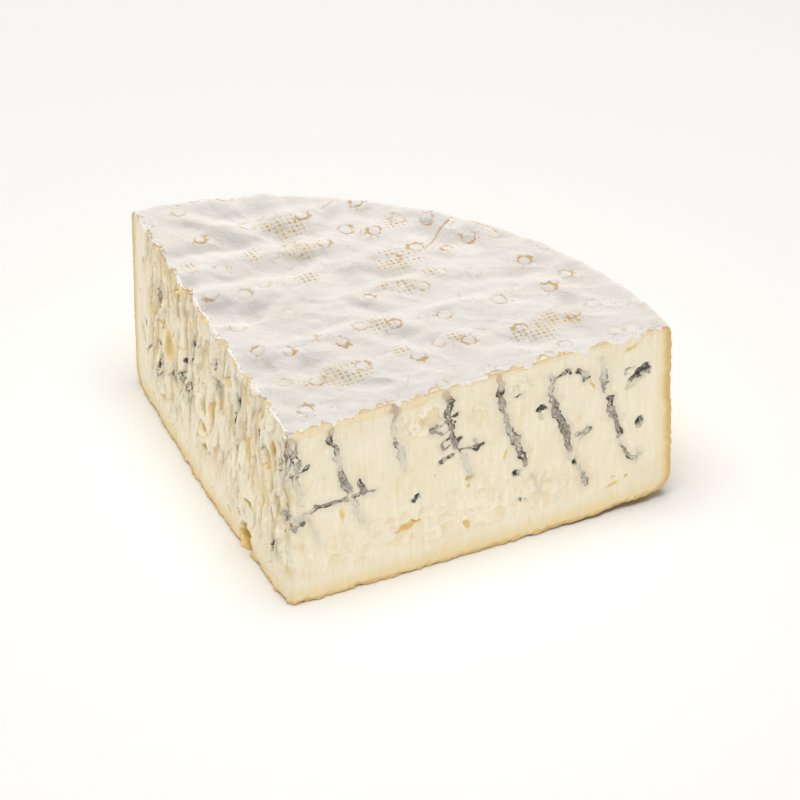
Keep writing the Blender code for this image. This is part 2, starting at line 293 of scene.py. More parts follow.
# Dark mould holes and ochre hollows: place, half length, half height, turn, depth.
RIGHT_DARK = (
    (102.6, 42.2, 2.7, 1.6, 40, 1.8), (99.8, 40.3, 1.5, 1.3, 40, 1.4), (98.6, 43.6, 1.1, .8, 30, 0.8),
    (102.3, 26.2, 1.8, 1.3, 50, 1.6), (73.2, 39.4, 1.3, 1.0, -30, 1.4), (45.3, 32, 2.1, .8, 15, 1.5),
    (36.6, 22.6, 1.1, .8, 20, .6), (66.3, 20.8, 1.2, .9, -40, 1.2), (68, 12.4, .9, .45, -20, .6),
    (83.5, 18.7, .6, .9, 20, 1.6),
)
RIGHT_PALE = (
    (99, 38.6, 1.5, .8, 30, .8), (102, 24.7, 1.3, .8, 0, .6), (73, 36.8, 1.5, .8, -50, .6),
    (101, 39.6, 2.6, 1.3, 35, .2),
)
RIGHT_WARM = (
    (34.0, 14.3, 3.2, 1.0, 12, 1.6), (36.0, 15.2, 1.3, 1.3, 40, 1.6), (51.3, 10, .9, 1.5, 20, .8),
    (94, 7.6, 1.4, .35, 15, .8), (98.3, 9.2, .5, .35, -30, .8), (94.5, 10, .35, .3, 0, .5),
    (52, 23.6, .7, .5, -40, 1.0), (51.7, 21.6, .5, .4, 0, .9), (15.4, 24, .3, 1.6, 15, .5),
    (62.8, 28, .4, 1.3, -25, .6), (88.3, 42.5, .25, 1.3, 35, .4), (99.0, 50.6, 1.6, .5, 25, .5),
)

# The same on the left cut face.
LEFT_VEINS = (
    ((93, 41, .4, .6), (93.8, 38.5, .9, .7), (94, 35.5, .8, .5), (93.6, 33, .5, .3)),
    ((103.5, 44, .5, .4), (104, 42.3, .4, .3)),
    ((103, 24.6, .7, .6), (102.5, 23.6, .5, .5)),
    ((105.6, 21.5, .5, .7), (105, 19.6, .8, .8), (103.8, 18, .7, .5)),
    ((100.5, 17.6, .6, .8), (101, 16.8, .4, .5)),
    ((92.5, 24, .5, .6), (91, 22.4, .7, .8), (89.5, 21, .4, .5)),
    ((94.5, 19, .5, .4), (93.3, 16.3, .7, .8), (91.5, 15, .8, .7), (89, 16.5, .5, .4)),
    ((82, 24, .4, .4), (82, 21, .6, .7), (83.5, 20, .7, .5), (81, 19, .9, .35), (78, 18.5, .8, .4)),
    ((77, 27.5, .5, .5), (74, 26.5, .6, .5), (72, 27.2, .5, .5), (70.5, 28, .5, .4)),
    ((69.8, 25.5, .8, .7), (68, 26, .8, .8), (66.3, 26.5, .8, .9), (65.5, 25.8, .4, .7)),
    ((76.8, 37, .5, .5), (77.2, 34.5, .9, .6), (76.8, 32.8, .6, .4)),
    ((66, 43, .4, .6), (66.9, 40.5, .8, .9), (66.7, 38.5, .8, .9), (66, 36.5, .9, .5)),
    ((49.3, 47, .4, .6), (48.8, 44.5, .5, .5)),
    ((49, 40.3, 1, .7), (49.3, 38, 1.2, .8), (50.8, 36.2, .8, .7)),
    ((34.8, 50, .7, .3), (34.5, 46, .6, .3), (34.2, 42, .9, .95), (34.6, 40, .5, .8)),
    ((38, 38, .7, .5), (37.3, 36.3, .8, .6), (36.8, 32.5, 1.2, .3), (36, 30.5, .8, .3)),
    ((20.3, 47.8, .5, .7), (20.8, 46, .4, .5)),
    ((20.6, 41.5, .8, .9), (19.8, 39, .7, .5), (17, 39.3, .9, .5), (15.5, 41, .6, .4)),
    ((24, 31, .5, .5), (24.6, 28, .4, .3)),
    ((12, 23, .4, .5), (11, 21, .4, .5)),
    ((11.6, 14, .7, .4), (11.2, 11.5, 1, .6), (11.8, 9, .8, .4)),
    ((77.5, 24.5, .5, .6), (76, 21.5, .7, .8), (74, 20, .5, .6)),
    ((71.5, 25.5, .4, .6), (69.5, 23, .6, .7), (68, 21, .4, .5)),
    ((0.5, 52, .7, .5), (1.0, 48, 1.2, .5), (0.6, 44, 1.0, .45), (1.6, 41, .7, .4), (1.0, 38, .6, .2)),
    ((2.2, 31, .4, .4), (1.4, 28.5, .6, .6), (2.4, 25, .5, .5), (1.2, 22, .4, .3)),
    ((3.5, 42.5, .9, .5), (6, 41, .8, .4)),
    ((0, 27.5, 1, .6), (3, 27.5, 1, .6), (5.5, 26, .8, .6), (7.5, 24, .5, .5)),
)
LEFT_DARK = (
    (75.2, 23.3, 2.8, 1.5, 30, 1.5), (72.2, 30.6, 1.6, .9, 30, 1.0), (34.3, 42, .9, 1.8, 10, 1.2),
    (66.3, 39, .8, 3.2, 0, 1.2), (93, 37.5, .7, 3.4, 0, 1.0), (35.9, 36.8, .7, 1.6, 0, .8),
    (20.5, 41, .8, 1.6, 0, .9), (100, 18.2, .5, .8, 0, .8), (91.5, 18, .7, 2.6, 15, .9),
    (76, 35.5, .6, 1.8, 0, .8), (11.5, 12, .5, 2.2, 0, .9),
)
LEFT_PALE = (
    (72, 21, 3.6, 2.6, 20, .3), (49, 37, 2.2, 3.6, 0, .3), (36.5, 26.3, 1.1, 1.0, 30, 1.6),
    (4.2, 25.6, 2.0, 1.6, 0, .5), (5, 42.6, 1.5, 1.2, 0, .4),
)
LEFT_WARM = (
    (60, 18, 2.8, 1.3, 20, 2.6), (58.8, 11.6, 1.7, 1.1, 20, 1.8), (90, 8.3, 1.2, .9, 30, 1.2),
    (79, 47.8, 2, 1.4, 0, 1.3), (42, 44.3, 3, 1.3, -20, 1.7), (17, 34.2, 2.6, 1.0, 0, 2.0),
    (90.5, 31.8, 2.4, .6, 10, 1.2), (99, 30.8, 1.4, .5, 0, .8), (75, 35.2, 1.8, .6, 15, 1.2),
    (53.5, 26.5, 1.6, 3.2, 0, 1.2), (42, 3.5, 1.2, .6, 0, .8), (26.5, 14.8, 3.0, 1.1, 15, 2.4),
    (10.5, 42.5, .9, 2.0, 0, 1.2), (8.5, 39, 1.2, 1.5, 20, 1.2), (86, 27, 2.2, 4.6, 0, 1.0),
    (46, 36, 2.2, 5, 0, .9), (28, 33, 1.6, 6, 0, .7),
)


def rim_scallops(run, height):
    """Fine uneven scallops of the browned rim."""
    rough = 0.26 * unevenness(run / 3.5, height / 1.9, 41, 3)
    rough = rough + 0.12 * unevenness(run / 14.0, height / 6.0, 42)
    rough = rough + 0.22 * unevenness(run / 1.3, height, 43, 2)
    return rough * ease((SCALLOP_TOP - height) / 3.0) - 0.10


class Wedge:
    """The wedge's form: every function takes and gives millimetres."""

    def __init__(self, form):
        self.height = form.height / MM
        self.radius = form.radius / MM
        self.half = form.sector / 2.0
        self.front = form.front_round / MM
        self.cap = form.rim_top_round / MM
        self.foot = form.rim_foot_round / MM
        self.swell = form.rim_swell / MM
        self.rind = form.rind_thickness / MM
        self.right_along = (math.sin(self.half), math.cos(self.half))
        self.right_out = (math.cos(self.half), -math.sin(self.half))
        self.left_out = (-math.cos(self.half), -math.sin(self.half))
        front_gap = self.front / math.sin(self.half) - self.front
        self.point_y = CAD_LOW[1] / MM - front_gap

    def top_relief(self, x, y):
        """Height of the swells over the flat top."""
        total = np.zeros_like(x)
        x = x + 0.6 * unevenness(x / 6.0, y / 6.0, 31, 2)
        y = y + 0.6 * unevenness(x / 6.0, y / 6.0, 32, 2)
        for across, away, half_length, half_width, turn, steep in SLOPES + BROAD:
            along, side = oval_frame(x, y, across, away, half_length, half_width, turn)
            swell = steep if half_length >= BROAD_FROM else STEEPNESS * steep * half_width * side
            total += swell * np.exp(-0.5 * (along * along + side * side))
        crumple = unevenness((x * 0.77 + y * 0.64) / 7.0, (y * 0.77 - x * 0.64) / 3.5, 33, 2)
        return total + 0.20 * crumple

    def curl(self, x, y):
        """Lift of the underside near the right end of the rim."""
        reach = x * self.right_along[0] + y * self.right_along[1]
        part = np.clip((reach - CURL_START) / CURL_LENGTH, 0.0, 1.0)
        return CURL_RISE * part * part

    def end_fade(self, distance):
        """Keeps both ends of a cut face in place."""
        return ease(distance / POINT_END) * ease((self.radius - distance) / RIM_END)

    def rim_radius(self, height):
        """Radius of the rim at a height, between its rounded edges."""
        wall = self.height - self.foot - self.cap
        narrowing = ease((height - 14.0) / (wall - 14.0))
        return self.radius + self.swell * (1.0 - narrowing)

    def flare(self, bearing, height):
        """How far the left end of the rim leans out toward the top."""
        near = ease(1.0 - (bearing + self.half) * self.radius / FLARE_REACH)
        return FLARE * near * np.clip(height / self.height, 0.0, 1.2)

    def outline_radius(self, height):
        """Radius of the rim at a height, rounded off at the foot and at the top."""
        low = np.clip(self.foot - height, 0.0, self.foot)
        high = np.clip(height - (self.height - self.cap), 0.0, self.cap)
        cut_low = self.foot - np.sqrt(self.foot ** 2 - low ** 2)
        cut_high = self.cap - np.sqrt(self.cap ** 2 - high ** 2)
        return self.rim_radius(height) - cut_low - cut_high

    def rim_reach(self, bearing, height):
        """Radius of the scalloped rim at a bearing and a height."""
        scallops = rim_scallops(bearing * self.radius, height) * ease(height / 1.5)
        return self.outline_radius(height) + scallops + self.flare(bearing, height)

    def settle(self, x, y, height):
        """Lift of a place: the swells of the top above, the curl of the underside below."""
        rise = self.top_relief(x, y) * ease(2.0 * height / self.height - 1.0)
        return rise + self.curl(x, y) * ease(1.0 - height / CURL_FADE)

    def face_sag(self, s, z, side):
        """Outward sag of the soft left face low down."""
        if side > 0:
            return np.zeros(s.shape)
        return SAG_OUT * ease((SAG_TOP - z) / SAG_TOP) * np.exp(-0.5 * ((s - SAG_MIDDLE) / SAG_SPREAD) ** 2)

    def place(self, across, away, radius):
        """Bends a unit square into a sector: its first corner is the point of the wedge."""
        u = across * (0.85 + 0.15 * across)
        v = away * (0.85 + 0.15 * away)
        x, y = u * np.sqrt(1.0 - 0.5 * v * v), v * np.sqrt(1.0 - 0.5 * u * u)
        bearing = self.half - np.arctan2(y, x) * 2.0 * self.half / (math.pi / 2.0)
        reach = radius * np.hypot(x, y)
        return reach * np.sin(bearing), reach * np.cos(bearing)


# How far a raised part of each face leans down: the torn left face droops.
FACE_LEAN = {1.0: 0.5, -1.0: 0.9}

# Places where the right face tore in flakes: from the front edge, height, half sizes, strength.
FLAKED = (
    (38.5, 47, 8, 7, 1.0), (65.5, 49, 6, 4, 0.8), (5, 34, 8, 12, 0.3), (22, 22, 16, 8, 0.25),
    (45, 16, 18, 7, 0.4), (72, 15, 16, 6, 0.35), (54, 44, 5, 5, 0.5), (86, 20, 8, 7, 0.15),
    (60, 26, 8, 6, 0.3),
)


def read_marks(x, y, veins, dark_holes, pale_spots, hollows):
    """Colour fields of a face's veins, holes, pale spots and hollows, and the depths of the last three."""
    fields = dict(zip(("vein_gap", "vein_dark"), gap_to_lines(x, y, veins)))
    depths = []
    for name, ovals in (("hole_gap", dark_holes), ("pale_gap", pale_spots), ("warm_gap", hollows)):
        fields[name], depth = gap_to_ovals(x, y, ovals)
        depths.append(depth)
    return fields, depths


def sink(offset, depths):
    """Takes the holes, pale spots and hollows out of an offset, one after the other."""
    for depth in depths:
        offset = offset - depth
    return offset


def inside_veins(fields):
    """Share of each place that lies inside a vein, more in a dark one."""
    return ease(0.35 - fields["vein_gap"] / 0.7) * (0.35 + 0.65 * fields["vein_dark"])


def flaked_places(s, z):
    """Where the right face tore in flakes, from 0 to 1."""
    flaked = np.zeros(s.shape)
    for middle, height, half_s, half_z, strength in FLAKED:
        reach = np.hypot((s - middle) / half_s, (z - height) / half_z)
        flaked = np.maximum(flaked, strength * ease(1.5 * dome(0.8 * reach)))
    return flaked


def right_relief(wedge, s, z):
    """Outward offset of the smooth right cut face, with its colour fields."""
    warp_s = s + 0.75 * unevenness(s / 1.5, z / 1.5, 5, 2) + 0.6 * unevenness(s / 4.0, z / 3.0, 13)
    warp_z = z + 0.55 * unevenness(s / 1.5, z / 1.5, 6, 2)
    fields, depths = read_marks(warp_s, warp_z, RIGHT_VEINS, RIGHT_DARK, RIGHT_PALE, RIGHT_WARM)
    fields["vein_gap"] = fields["vein_gap"] + 0.30 * unevenness(s / 1.8, z / 1.8, 14)
    flaked = flaked_places(s, z)
    wander = s + 1.2 * unevenness(s / 8.0, z / 12.0, 10)
    smear = 0.06 * unevenness(wander / 1.2, z / 9.0, 7, 2) + 0.16 * unevenness(wander / 5.5, z / 8.0, 8, 2)
    tongue = unevenness(wander / 2.4, z / 5.0, 9, 2)
    tongue = 0.50 * ease((tongue + 0.05) / 0.28) * (0.25 + 0.75 * ease((tongue + 0.1) / 0.8))
    scallop = 0.38 * (0.5 - np.abs(unevenness(wander / 3.2, z / 3.6, 15, 2)) * 2.0)
    chips = unevenness(wander / 1.5, z / 2.2, 11, 2)
    chips = 0.42 * ease((chips - 0.02) / 0.22) - 0.30 * ease((-chips - 0.25) / 0.15)
    band = ease((25.0 - z) / 9.0) * ease((z - 5.0) / 5.0) * ease((100.0 - s) / 30.0)
    peel = unevenness(wander / 2.6, z / 2.4, 16, 3)
    peel = (0.65 * ease((peel + 0.03) / 0.10) - 0.30) * flaked
    fine = smear + tongue * np.maximum(1.15 * band, 0.7 * flaked) + 1.5 * scallop * band
    fine = fine + chips * flaked + peel
    inside = inside_veins(fields)
    fine -= 0.42 * inside
    fine += inside * 0.35 * (unevenness(s / 0.8, z / 0.8, 12, 2) + 0.1)
    fine += 0.10 * np.exp(-((fields["vein_gap"] - 0.45) / 0.40) ** 2) * (0.3 + fields["vein_dark"])
    # Painted shade in the low places of the flakes and of the drip band, and a painted highlight (a value
    # below 0) on raised places.
    painted_shade_and_highlight = np.clip(-(chips * flaked + peel + tongue * band - 0.12) / 0.35, 0.0, 1.0) * flaked * 0.55
    painted_shade_and_highlight = np.maximum(painted_shade_and_highlight, 0.46 * band * ease((0.08 - tongue - scallop) / 0.25))
    fields["painted_shade_and_highlight"] = painted_shade_and_highlight - 0.65 * ease((fine - 0.35) / 0.5) * np.maximum(band, flaked)
    fine = fine * (1.0 - 0.75 * ease((0.3 - fields["warm_gap"]) / 0.5))
    dished = -0.4 * np.sin(math.pi * z / wedge.height) * wedge.end_fade(s)
    return dished + sink(fine * ease((wedge.height - z) / 1.5), depths), fields


def left_relief(wedge, s, z):
    """Outward offset of the torn left cut face, with its colour fields."""
    wander = s + 2.0 * unevenness(s / 9.0, z / 14.0, 21) + 0.8 * unevenness(s / 3.0, z / 6.0, 27)
    sag = wedge.face_sag(s, z, -1.0) * wedge.end_fade(s)
    seen_s, seen_z = s + 2.2 * sag, z - 1.6 * sag
    warp_s = seen_s + 0.7 * unevenness(s / 1.6, z / 3.4, 22, 2)
    warp_z = seen_z + 0.6 * unevenness(s / 1.6, z / 3.4, 28, 2)
    fields, depths = read_marks(warp_s, warp_z, LEFT_VEINS, LEFT_DARK, LEFT_PALE, LEFT_WARM)
    fields["vein_gap"] = fields["vein_gap"] + 0.24
    torn = ease((108.0 - s) / 12.0) * (0.16 + 0.84 * ease((z - 5.0) / 13.0))
    rough = ease(0.42 + 1.7 * unevenness(wander / 6.0, z / 12.0, 34, 2))
    billow = np.abs(unevenness(wander / 4.2, z / 18.0, 23, 2))
    ribs = 1.7 * (np.minimum(billow, 0.5) - 0.22)
    ridge = 0.60 * (0.42 - np.abs(unevenness(wander / 2.1, z / 11.0, 24, 2)) * 1.7)
    flakes = unevenness(wander / 2.6, z / 9.0, 29, 2)
    flakes = 0.70 * ease((flakes - 0.03) / 0.06) - 0.28
    shreds = unevenness(wander / 1.1, z / 3.6, 30, 2)
    shreds = 0.45 * ease((shreds - 0.05) / 0.10) - 0.12
    crumb = (0.30 * unevenness(wander / 0.7, z / 1.2, 25, 2) + shreds) * (0.12 + 0.88 * rough)
    fine = torn * (ribs + ridge * (0.4 + 0.6 * rough) + flakes + crumb)
    fine = fine + 0.05 * unevenness(wander / 1.0, z / 9.0, 26, 2)
    # Painted shade in low places and a painted highlight (a value below 0) on raised ones, and more painted
    # shade along the front edge.
    painted_shade_and_highlight = np.clip(0.30 - fine / 1.05, -1.0, 1.0) * (0.4 + 0.6 * torn)
    edge_shade = ease(1.0 - s / 6.0) * ease(0.45 + 1.4 * unevenness(s / 2.0, z / 5.0, 36, 2))
    painted_shade_and_highlight = np.minimum(painted_shade_and_highlight + 0.9 * edge_shade * ease((z - 4.0) / 8.0), 1.0)
    fine = fine * (1.0 - 0.75 * ease((0.3 - fields["warm_gap"]) / 0.5))
    fine -= 0.50 * inside_veins(fields)
    wide = TEAR_WIDTH * (1.0 + 0.4 * unevenness(z / 1.6, z * 0.0 + 3.0, 35, 2))
    from_tear = np.hypot((warp_s - TEAR_PLACE) / wide, (warp_z - TEAR_HEIGHT) / TEAR_TALL)
    torn_out = ease(1.5 * dome(from_tear))
    fields["warm_gap"] = np.minimum(fields["warm_gap"], from_tear - 0.75)
    # Painted shade fills the inside of the tear at the foot.
    fields["painted_shade_and_highlight"] = np.maximum(painted_shade_and_highlight, ease(torn_out))
    return sink(sag + fine * ease(s / 2.0), depths) - TEAR_DEPTH * torn_out, fields


# Where the rind hangs over a cut edge, and where it is torn back: from the front edge, half width, reach.
RIGHT_TONGUES = (
    (13.0, 1.3, 1.9), (31.5, 1.3, 1.5), (17.5, 2.0, 0.5), (50.5, 2.5, 0.8), (56.0, 2.0, 0.7),
    (68.5, 2.0, 1.0), (85.5, 2.0, 1.7), (101.0, 2.5, 1.6), (96.0, 3.0, 0.8), (4.0, 2.0, 0.3),
)
RIGHT_BARE = (
    (27.0, 2.4, 2.0), (42.0, 3.0, 2.2), (60.0, 3.5, 2.2), (65.0, 2.5, 1.6), (74.0, 3.2, 2.4), (79, 2.5, 1.2),
    (10.3, 1.3, 1.4), (22.0, 2.5, 1.1), (37.5, 2.5, 1.4), (90.5, 2.5, 1.6), (107.0, 2.5, 0.9),
    (7.5, 2.0, 0.9),
)
LEFT_TONGUES = (
    (65.0, 2.5, 2.6), (51.5, 4.0, 3.0), (84.0, 3.0, 1.0), (77.0, 2.0, 1.4), (33.0, 4.0, 1.2),
    (22.0, 3.0, 1.4), (103.0, 4.0, 0.9), (8.0, 3.0, 0.6), (96.0, 1.5, 0.8), (40.0, 1.5, 0.9),
)
LEFT_BARE = (
    (58.0, 4.0, 1.3), (91.0, 4.0, 1.1), (14.5, 3.5, 1.5), (44.0, 4.0, 1.0), (71.0, 3.5, 1.3), (28, 3.0, 1.0),
    (80.5, 2.5, 0.9), (99.0, 2.5, 0.7),
)


def fringe(s, side):
    """Hang of the rind along a cut edge, with its own tongues and bare places."""
    tongues, bare, seed = (RIGHT_TONGUES, RIGHT_BARE, 61) if side > 0 else (LEFT_TONGUES, LEFT_BARE, 71)
    total = 0.15 + 0.45 * unevenness(s / 3.0, s * 0.0, seed, 2)
    total = total + 0.30 * unevenness(s / 0.9, s * 0.0 + 2.0, seed + 3)
    for middle, half, hang in tongues:
        total = total + hang * dome((s - middle) / half)
    for middle, half, back in bare:
        total = total - back * dome((s - middle) / half)
    return total


# ---------------------------------------------------------------- mesh helpers

# Distance from the point of the wedge to the middle that hidden surfaces are drawn in to.
UNDER_MIDDLE = 62.0


def ring_out(bm, edges, level):
    """Extrudes an open loop of edges to a whole-number level."""
    made = bmesh.ops.extrude_edge_only(bm, edges=edges)["geom"]
    for vert in (item for item in made if isinstance(item, bmesh.types.BMVert)):
        vert.co.z = level
    return [item for item in made if isinstance(item, bmesh.types.BMEdge)]


def mesh_from(name, bm):
    """Makes a named mesh of a bmesh and frees the bmesh."""
    mesh = bpy.data.meshes.new(name)
    bm.to_mesh(mesh)
    bm.free()
    return mesh


def draw_in(x, y, at, share):
    """Draws the chosen points in toward the middle of the wedge."""
    x[at] = x[at] * share
    y[at] = UNDER_MIDDLE + (y[at] - UNDER_MIDDLE) * share


def read_points(mesh):
    """Places of all vertices, one in a row."""
    points = np.empty(len(mesh.vertices) * 3)
    mesh.vertices.foreach_get("co", points)
    return points.reshape(-1, 3)


def write_points(mesh, x, y, z):
    """Moves the vertices to places that are given in millimetres."""
    points = np.stack([x, y, z], axis=1) * MM
    mesh.vertices.foreach_set("co", points.ravel())
    mesh.update()


def write_fields(mesh, fields):
    """Stores a number at every vertex for each named field."""
    for name, values in fields.items():
        field = mesh.attributes.new(name, "FLOAT", "POINT")
        field.data.foreach_set("value", np.asarray(values, dtype=np.float32))


def read_field(mesh, name):
    """The stored number of every vertex."""
    values = np.empty(len(mesh.vertices))
    mesh.attributes[name].data.foreach_get("value", values)
    return values


def face_outward(mesh):
    """Turns every face of a closed mesh outward."""
    bm = bmesh.new()
    bm.from_mesh(mesh)
    bmesh.ops.recalc_face_normals(bm, faces=bm.faces[:])
    bm.to_mesh(mesh)
    bm.free()


def finish_piece(name, mesh, material):
    """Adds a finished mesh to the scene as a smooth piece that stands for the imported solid."""
    mesh.shade_smooth()
    mesh.materials.append(material)
    piece = bpy.data.objects.new(name, mesh)
    bpy.context.collection.objects.link(piece)
    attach(piece, "root")
    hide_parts(NODE)
    return piece


# ---------------------------------------------------------------- cut faces

# How far the rind's lip stands out of a cut face and over the rind beside it.
LIP_PROUD = 0.38
LIP_RISE = 0.32

# How deep the firmer strip under the rind reaches, near the front edge and far from it, and where it turns.
STRIP_NEAR, STRIP_FAR, STRIP_TURN = 2.9, 1.4, 46.0

# Grid of a cut face and of its shelf under the rind, and how far the front edge's own shape reaches.
FACE_COLUMNS = 424
FACE_ROWS = 196
SHELF_ROWS = 16
SHELF_LENGTH = 5.0
EDGE_REACH = 2.5

# How far each step of a face's hidden back is drawn in, and moved off the foot and the rind.
SLAB_STEPS = ((3.0, 0.0), (7.0, 3.0))


def lip_share(rind_gap):
    """How much of the rind's lip stands over a place on a cut face."""
    return ease((0.25 - rind_gap) / 0.5)


def grid_with_back(columns, rows, steps):
    """Unit grid in columns and rows, its edge turned back in whole-number levels and closed."""
    bm = bmesh.new()
    place = Matrix.Translation((0.5, 0.5, 0.0))
    bmesh.ops.create_grid(bm, x_segments=columns, y_segments=rows, size=0.5, matrix=place)
    edges = [edge for edge in bm.edges if edge.is_boundary]
    for edge in edges:
        edge.smooth = False
    for level in range(1, steps + 1):
        edges = ring_out(bm, edges, -level)
    bmesh.ops.contextual_create(bm, geom=edges)
    return bm


def read_grid(mesh, columns, rows):
    """Column, row and level of every vertex of such a grid."""
    unit = read_points(mesh)
    column = np.round(unit[:, 0] * columns)
    row = np.round(unit[:, 1] * rows)
    return column, row, -np.round(unit[:, 2]).astype(int)


def round_front(wedge, x, y, s, side):
    """Bends the first stretch of a cut face onto the rounded front edge."""
    reach = wedge.front / math.tan(wedge.half)
    turn = (math.pi / 2.0 - wedge.half) * np.clip(s / reach, 0.0, 1.0)
    near = s < reach
    bent_x = side * wedge.front * np.sin(turn)
    bent_y = wedge.front / math.sin(wedge.half) - wedge.front * np.cos(turn)
    return np.where(near, bent_x, x), np.where(near, bent_y, y)


def face_surface(wedge, s, z, shelf, radius, side):
    """Outward offset of a cut face with the rind's lip on it, its colour fields and the rind's hang."""
    edge = np.exp(-s / EDGE_REACH)
    offset, fields = (right_relief if side > 0 else left_relief)(wedge, s, z)
    rough = 0.62 * unevenness(s / 1.3, z / 0.9, 51, 2) + 0.30 * unevenness(s / 4.0, z / 3.0, 52)
    offset = offset + rough * ease((2.2 - z) / 2.2) * ease((wedge.radius - s) / 3.0)
    offset = offset * ease(s / 1.2) * ease((radius - s) / 1.5)
    hang = fringe(s, side) * ease((wedge.radius - s) / 2.0)
    torn_edge = 0.32 * unevenness(s / 0.8, z / 0.8, 57, 2) + 0.4 * unevenness(s / 2.6, z / 2.6, 58)
    rind_gap = wedge.height - z - shelf - hang + torn_edge * ease((wedge.height - z) / 0.8)
    if side < 0:
        sag = wedge.face_sag(s, z, side) * wedge.end_fade(s)
        flap, _ = gap_to_ovals(s + 2.2 * sag + torn_edge, z - 1.6 * sag + 0.5 * torn_edge, (FLAP,))
        rind_gap = np.minimum(rind_gap, flap)
    lip = lip_share(rind_gap)
    offset = offset * (1.0 - 0.8 * lip) + LIP_PROUD * lip * (1.0 - edge)
    offset = offset - 0.25 * ease((z - wedge.height + 0.7) / 0.7) * (1.0 - edge)
    strip = STRIP_FAR + (STRIP_NEAR - STRIP_FAR) * ease((STRIP_TURN - s) / 10.0) * (side > 0)
    strip_gap = wedge.height - z - strip + 0.35 * unevenness(s / 5.0, z / 5.0, 59, 2)
    offset = offset - 0.16 * np.exp(-(strip_gap / 0.28) ** 2) * ease((STRIP_TURN - s) / 6.0) * (side > 0)
    near_front = ease(s / 1.2) * np.exp(-s / 3.5) * ease(z / 3.0)
    offset = offset + 0.45 * unevenness(s / 1.6, z / 2.0, 56, 3) * near_front
    fields.update(foot_gap=z, rim_gap=radius - s, under_rind=wedge.height - z)
    fields.update(rind_gap=rind_gap, strip_gap=strip_gap)
    return offset, fields, hang


def draw_slab_back(x, y, z, level, height):
    """Draws the hidden back of a face toward the middle of the wedge, off the foot and under the rind."""
    for step, (back, up) in enumerate(SLAB_STEPS, start=1):
        at = level == step
        low = z[at] < 1.0
        high = z[at] > height - 4.0
        share = back / np.hypot(x[at], UNDER_MIDDLE - y[at])
        x[at] -= x[at] * share
        y[at] += (UNDER_MIDDLE - y[at]) * share
        z[at] += np.where(low, up + 0.05, np.where(high, -up - 0.3 * step, 0.0))


def shape_cut_face(mesh, wedge, side):
    """Bends the grid into one cut face with its shelf under the rind, carves it and stores its fields."""
    column, row, level = read_grid(mesh, FACE_COLUMNS, FACE_ROWS + SHELF_ROWS)
    along = wedge.right_along if side > 0 else (-wedge.right_along[0], wedge.right_along[1])
    out = wedge.right_out if side > 0 else wedge.left_out
    z = wedge.height * np.minimum(row / FACE_ROWS, 1.0)
    shelf = SHELF_LENGTH * np.maximum(row - FACE_ROWS, 0.0) / SHELF_ROWS
    radius = wedge.rim_reach(side * wedge.half, z)
    s = column / FACE_COLUMNS * radius
    offset, fields, hang = face_surface(wedge, s, z, shelf, radius, side)
    edge = np.exp(-s / EDGE_REACH)
    inset = shelf * ease((radius - s) / 6.0)
    chip = 0.65 * unevenness(z / 3.0, z * 0.0, 53, 3)
    chip = chip - 0.45 * dome((z - 27.0) / 6.0) - 0.4 * dome((z - 44.0) / 4.0)
    sway = 0.5 * unevenness(z / 5.0, z * 0.0 + 4.0, 54, 2)
    # The shelf turns in along the bisector at the front and at right angles to the face elsewhere.
    inward_x = -out[0] * (1.0 - edge)
    inward_y = -out[1] * (1.0 - edge) + edge
    face_x, face_y = round_front(wedge, s * along[0], s * along[1], s, side)
    x = face_x + out[0] * offset + inward_x * inset + sway * edge
    y = face_y + out[1] * offset + inward_y * inset - chip * edge
    lean = FACE_LEAN[side] * np.clip(offset - wedge.face_sag(s, z, side), -0.4, 1.3)
    lean = lean * ease(z / 3.0) * ease((wedge.height - z) / 3.0)
    z = z - lean + wedge.settle(x, y, z) - 0.20 * ease(shelf / 0.6) - 0.9 * ease((shelf - 1.5) / 3.5)
    behind_edge = ease((shelf + np.minimum(hang, 0.0) - 0.35) / 0.35)
    lip_rise = LIP_RISE * (1.0 + 1.1 * ease((s - radius + 9.0) / 4.0)) * lip_share(fields["rind_gap"])
    z = z + lip_rise * (1.0 - behind_edge) * ease((0.9 - fields["under_rind"]) / 0.9)
    z = z + 0.12 * unevenness(x / 0.9, y / 0.9, 55, 2) * ease(shelf / 0.6)
    draw_slab_back(x, y, z, level, wedge.height)
    write_points(mesh, x, y + wedge.point_y, z)
    write_fields(mesh, fields)


# ---------------------------------------------------------------- rim and underside

RIM_COLUMNS = 420
HIDDEN_COLUMNS = 24
DRUM_COLUMNS = 2 * HIDDEN_COLUMNS + RIM_COLUMNS
FOOT_ROWS = 14
WALL_ROWS = 140
CAP_ROWS = 10

# Hidden rings over the top and under the foot: how far each is drawn in, and how deep the top ones are sunk.
TOP_SHARES = (0.992, 0.980, 0.965, 0.94, 0.85)
TOP_SINK = (0.35, 0.45, 0.8, 2.2, 2.6)
UNDER_SHARES = (0.985, 0.955, 0.90, 0.80, 0.62, 0.35)

# How far the hidden walls lie behind the cut faces, and how far their tops lie below the rim's.
CORE_SINK = 2.5
CORE_DROP = 1.4


def core_levels(wedge):
    """Height of each row of the rim, from the underside to the top."""
    wall = wedge.height - wedge.foot - wedge.cap
    foot_turns = [math.pi / 2.0 * step / FOOT_ROWS for step in range(FOOT_ROWS + 1)]
    cap_turns = [math.pi / 2.0 * step / CAP_ROWS for step in range(CAP_ROWS + 1)]
    foot = [wedge.foot * (1.0 - math.cos(turn)) for turn in foot_turns]
    sides = [wedge.foot + wall * row / WALL_ROWS for row in range(1, WALL_ROWS)]
    cap = [wedge.height - wedge.cap * (1.0 - math.sin(turn)) for turn in cap_turns]
    return np.array(foot + sides + cap)


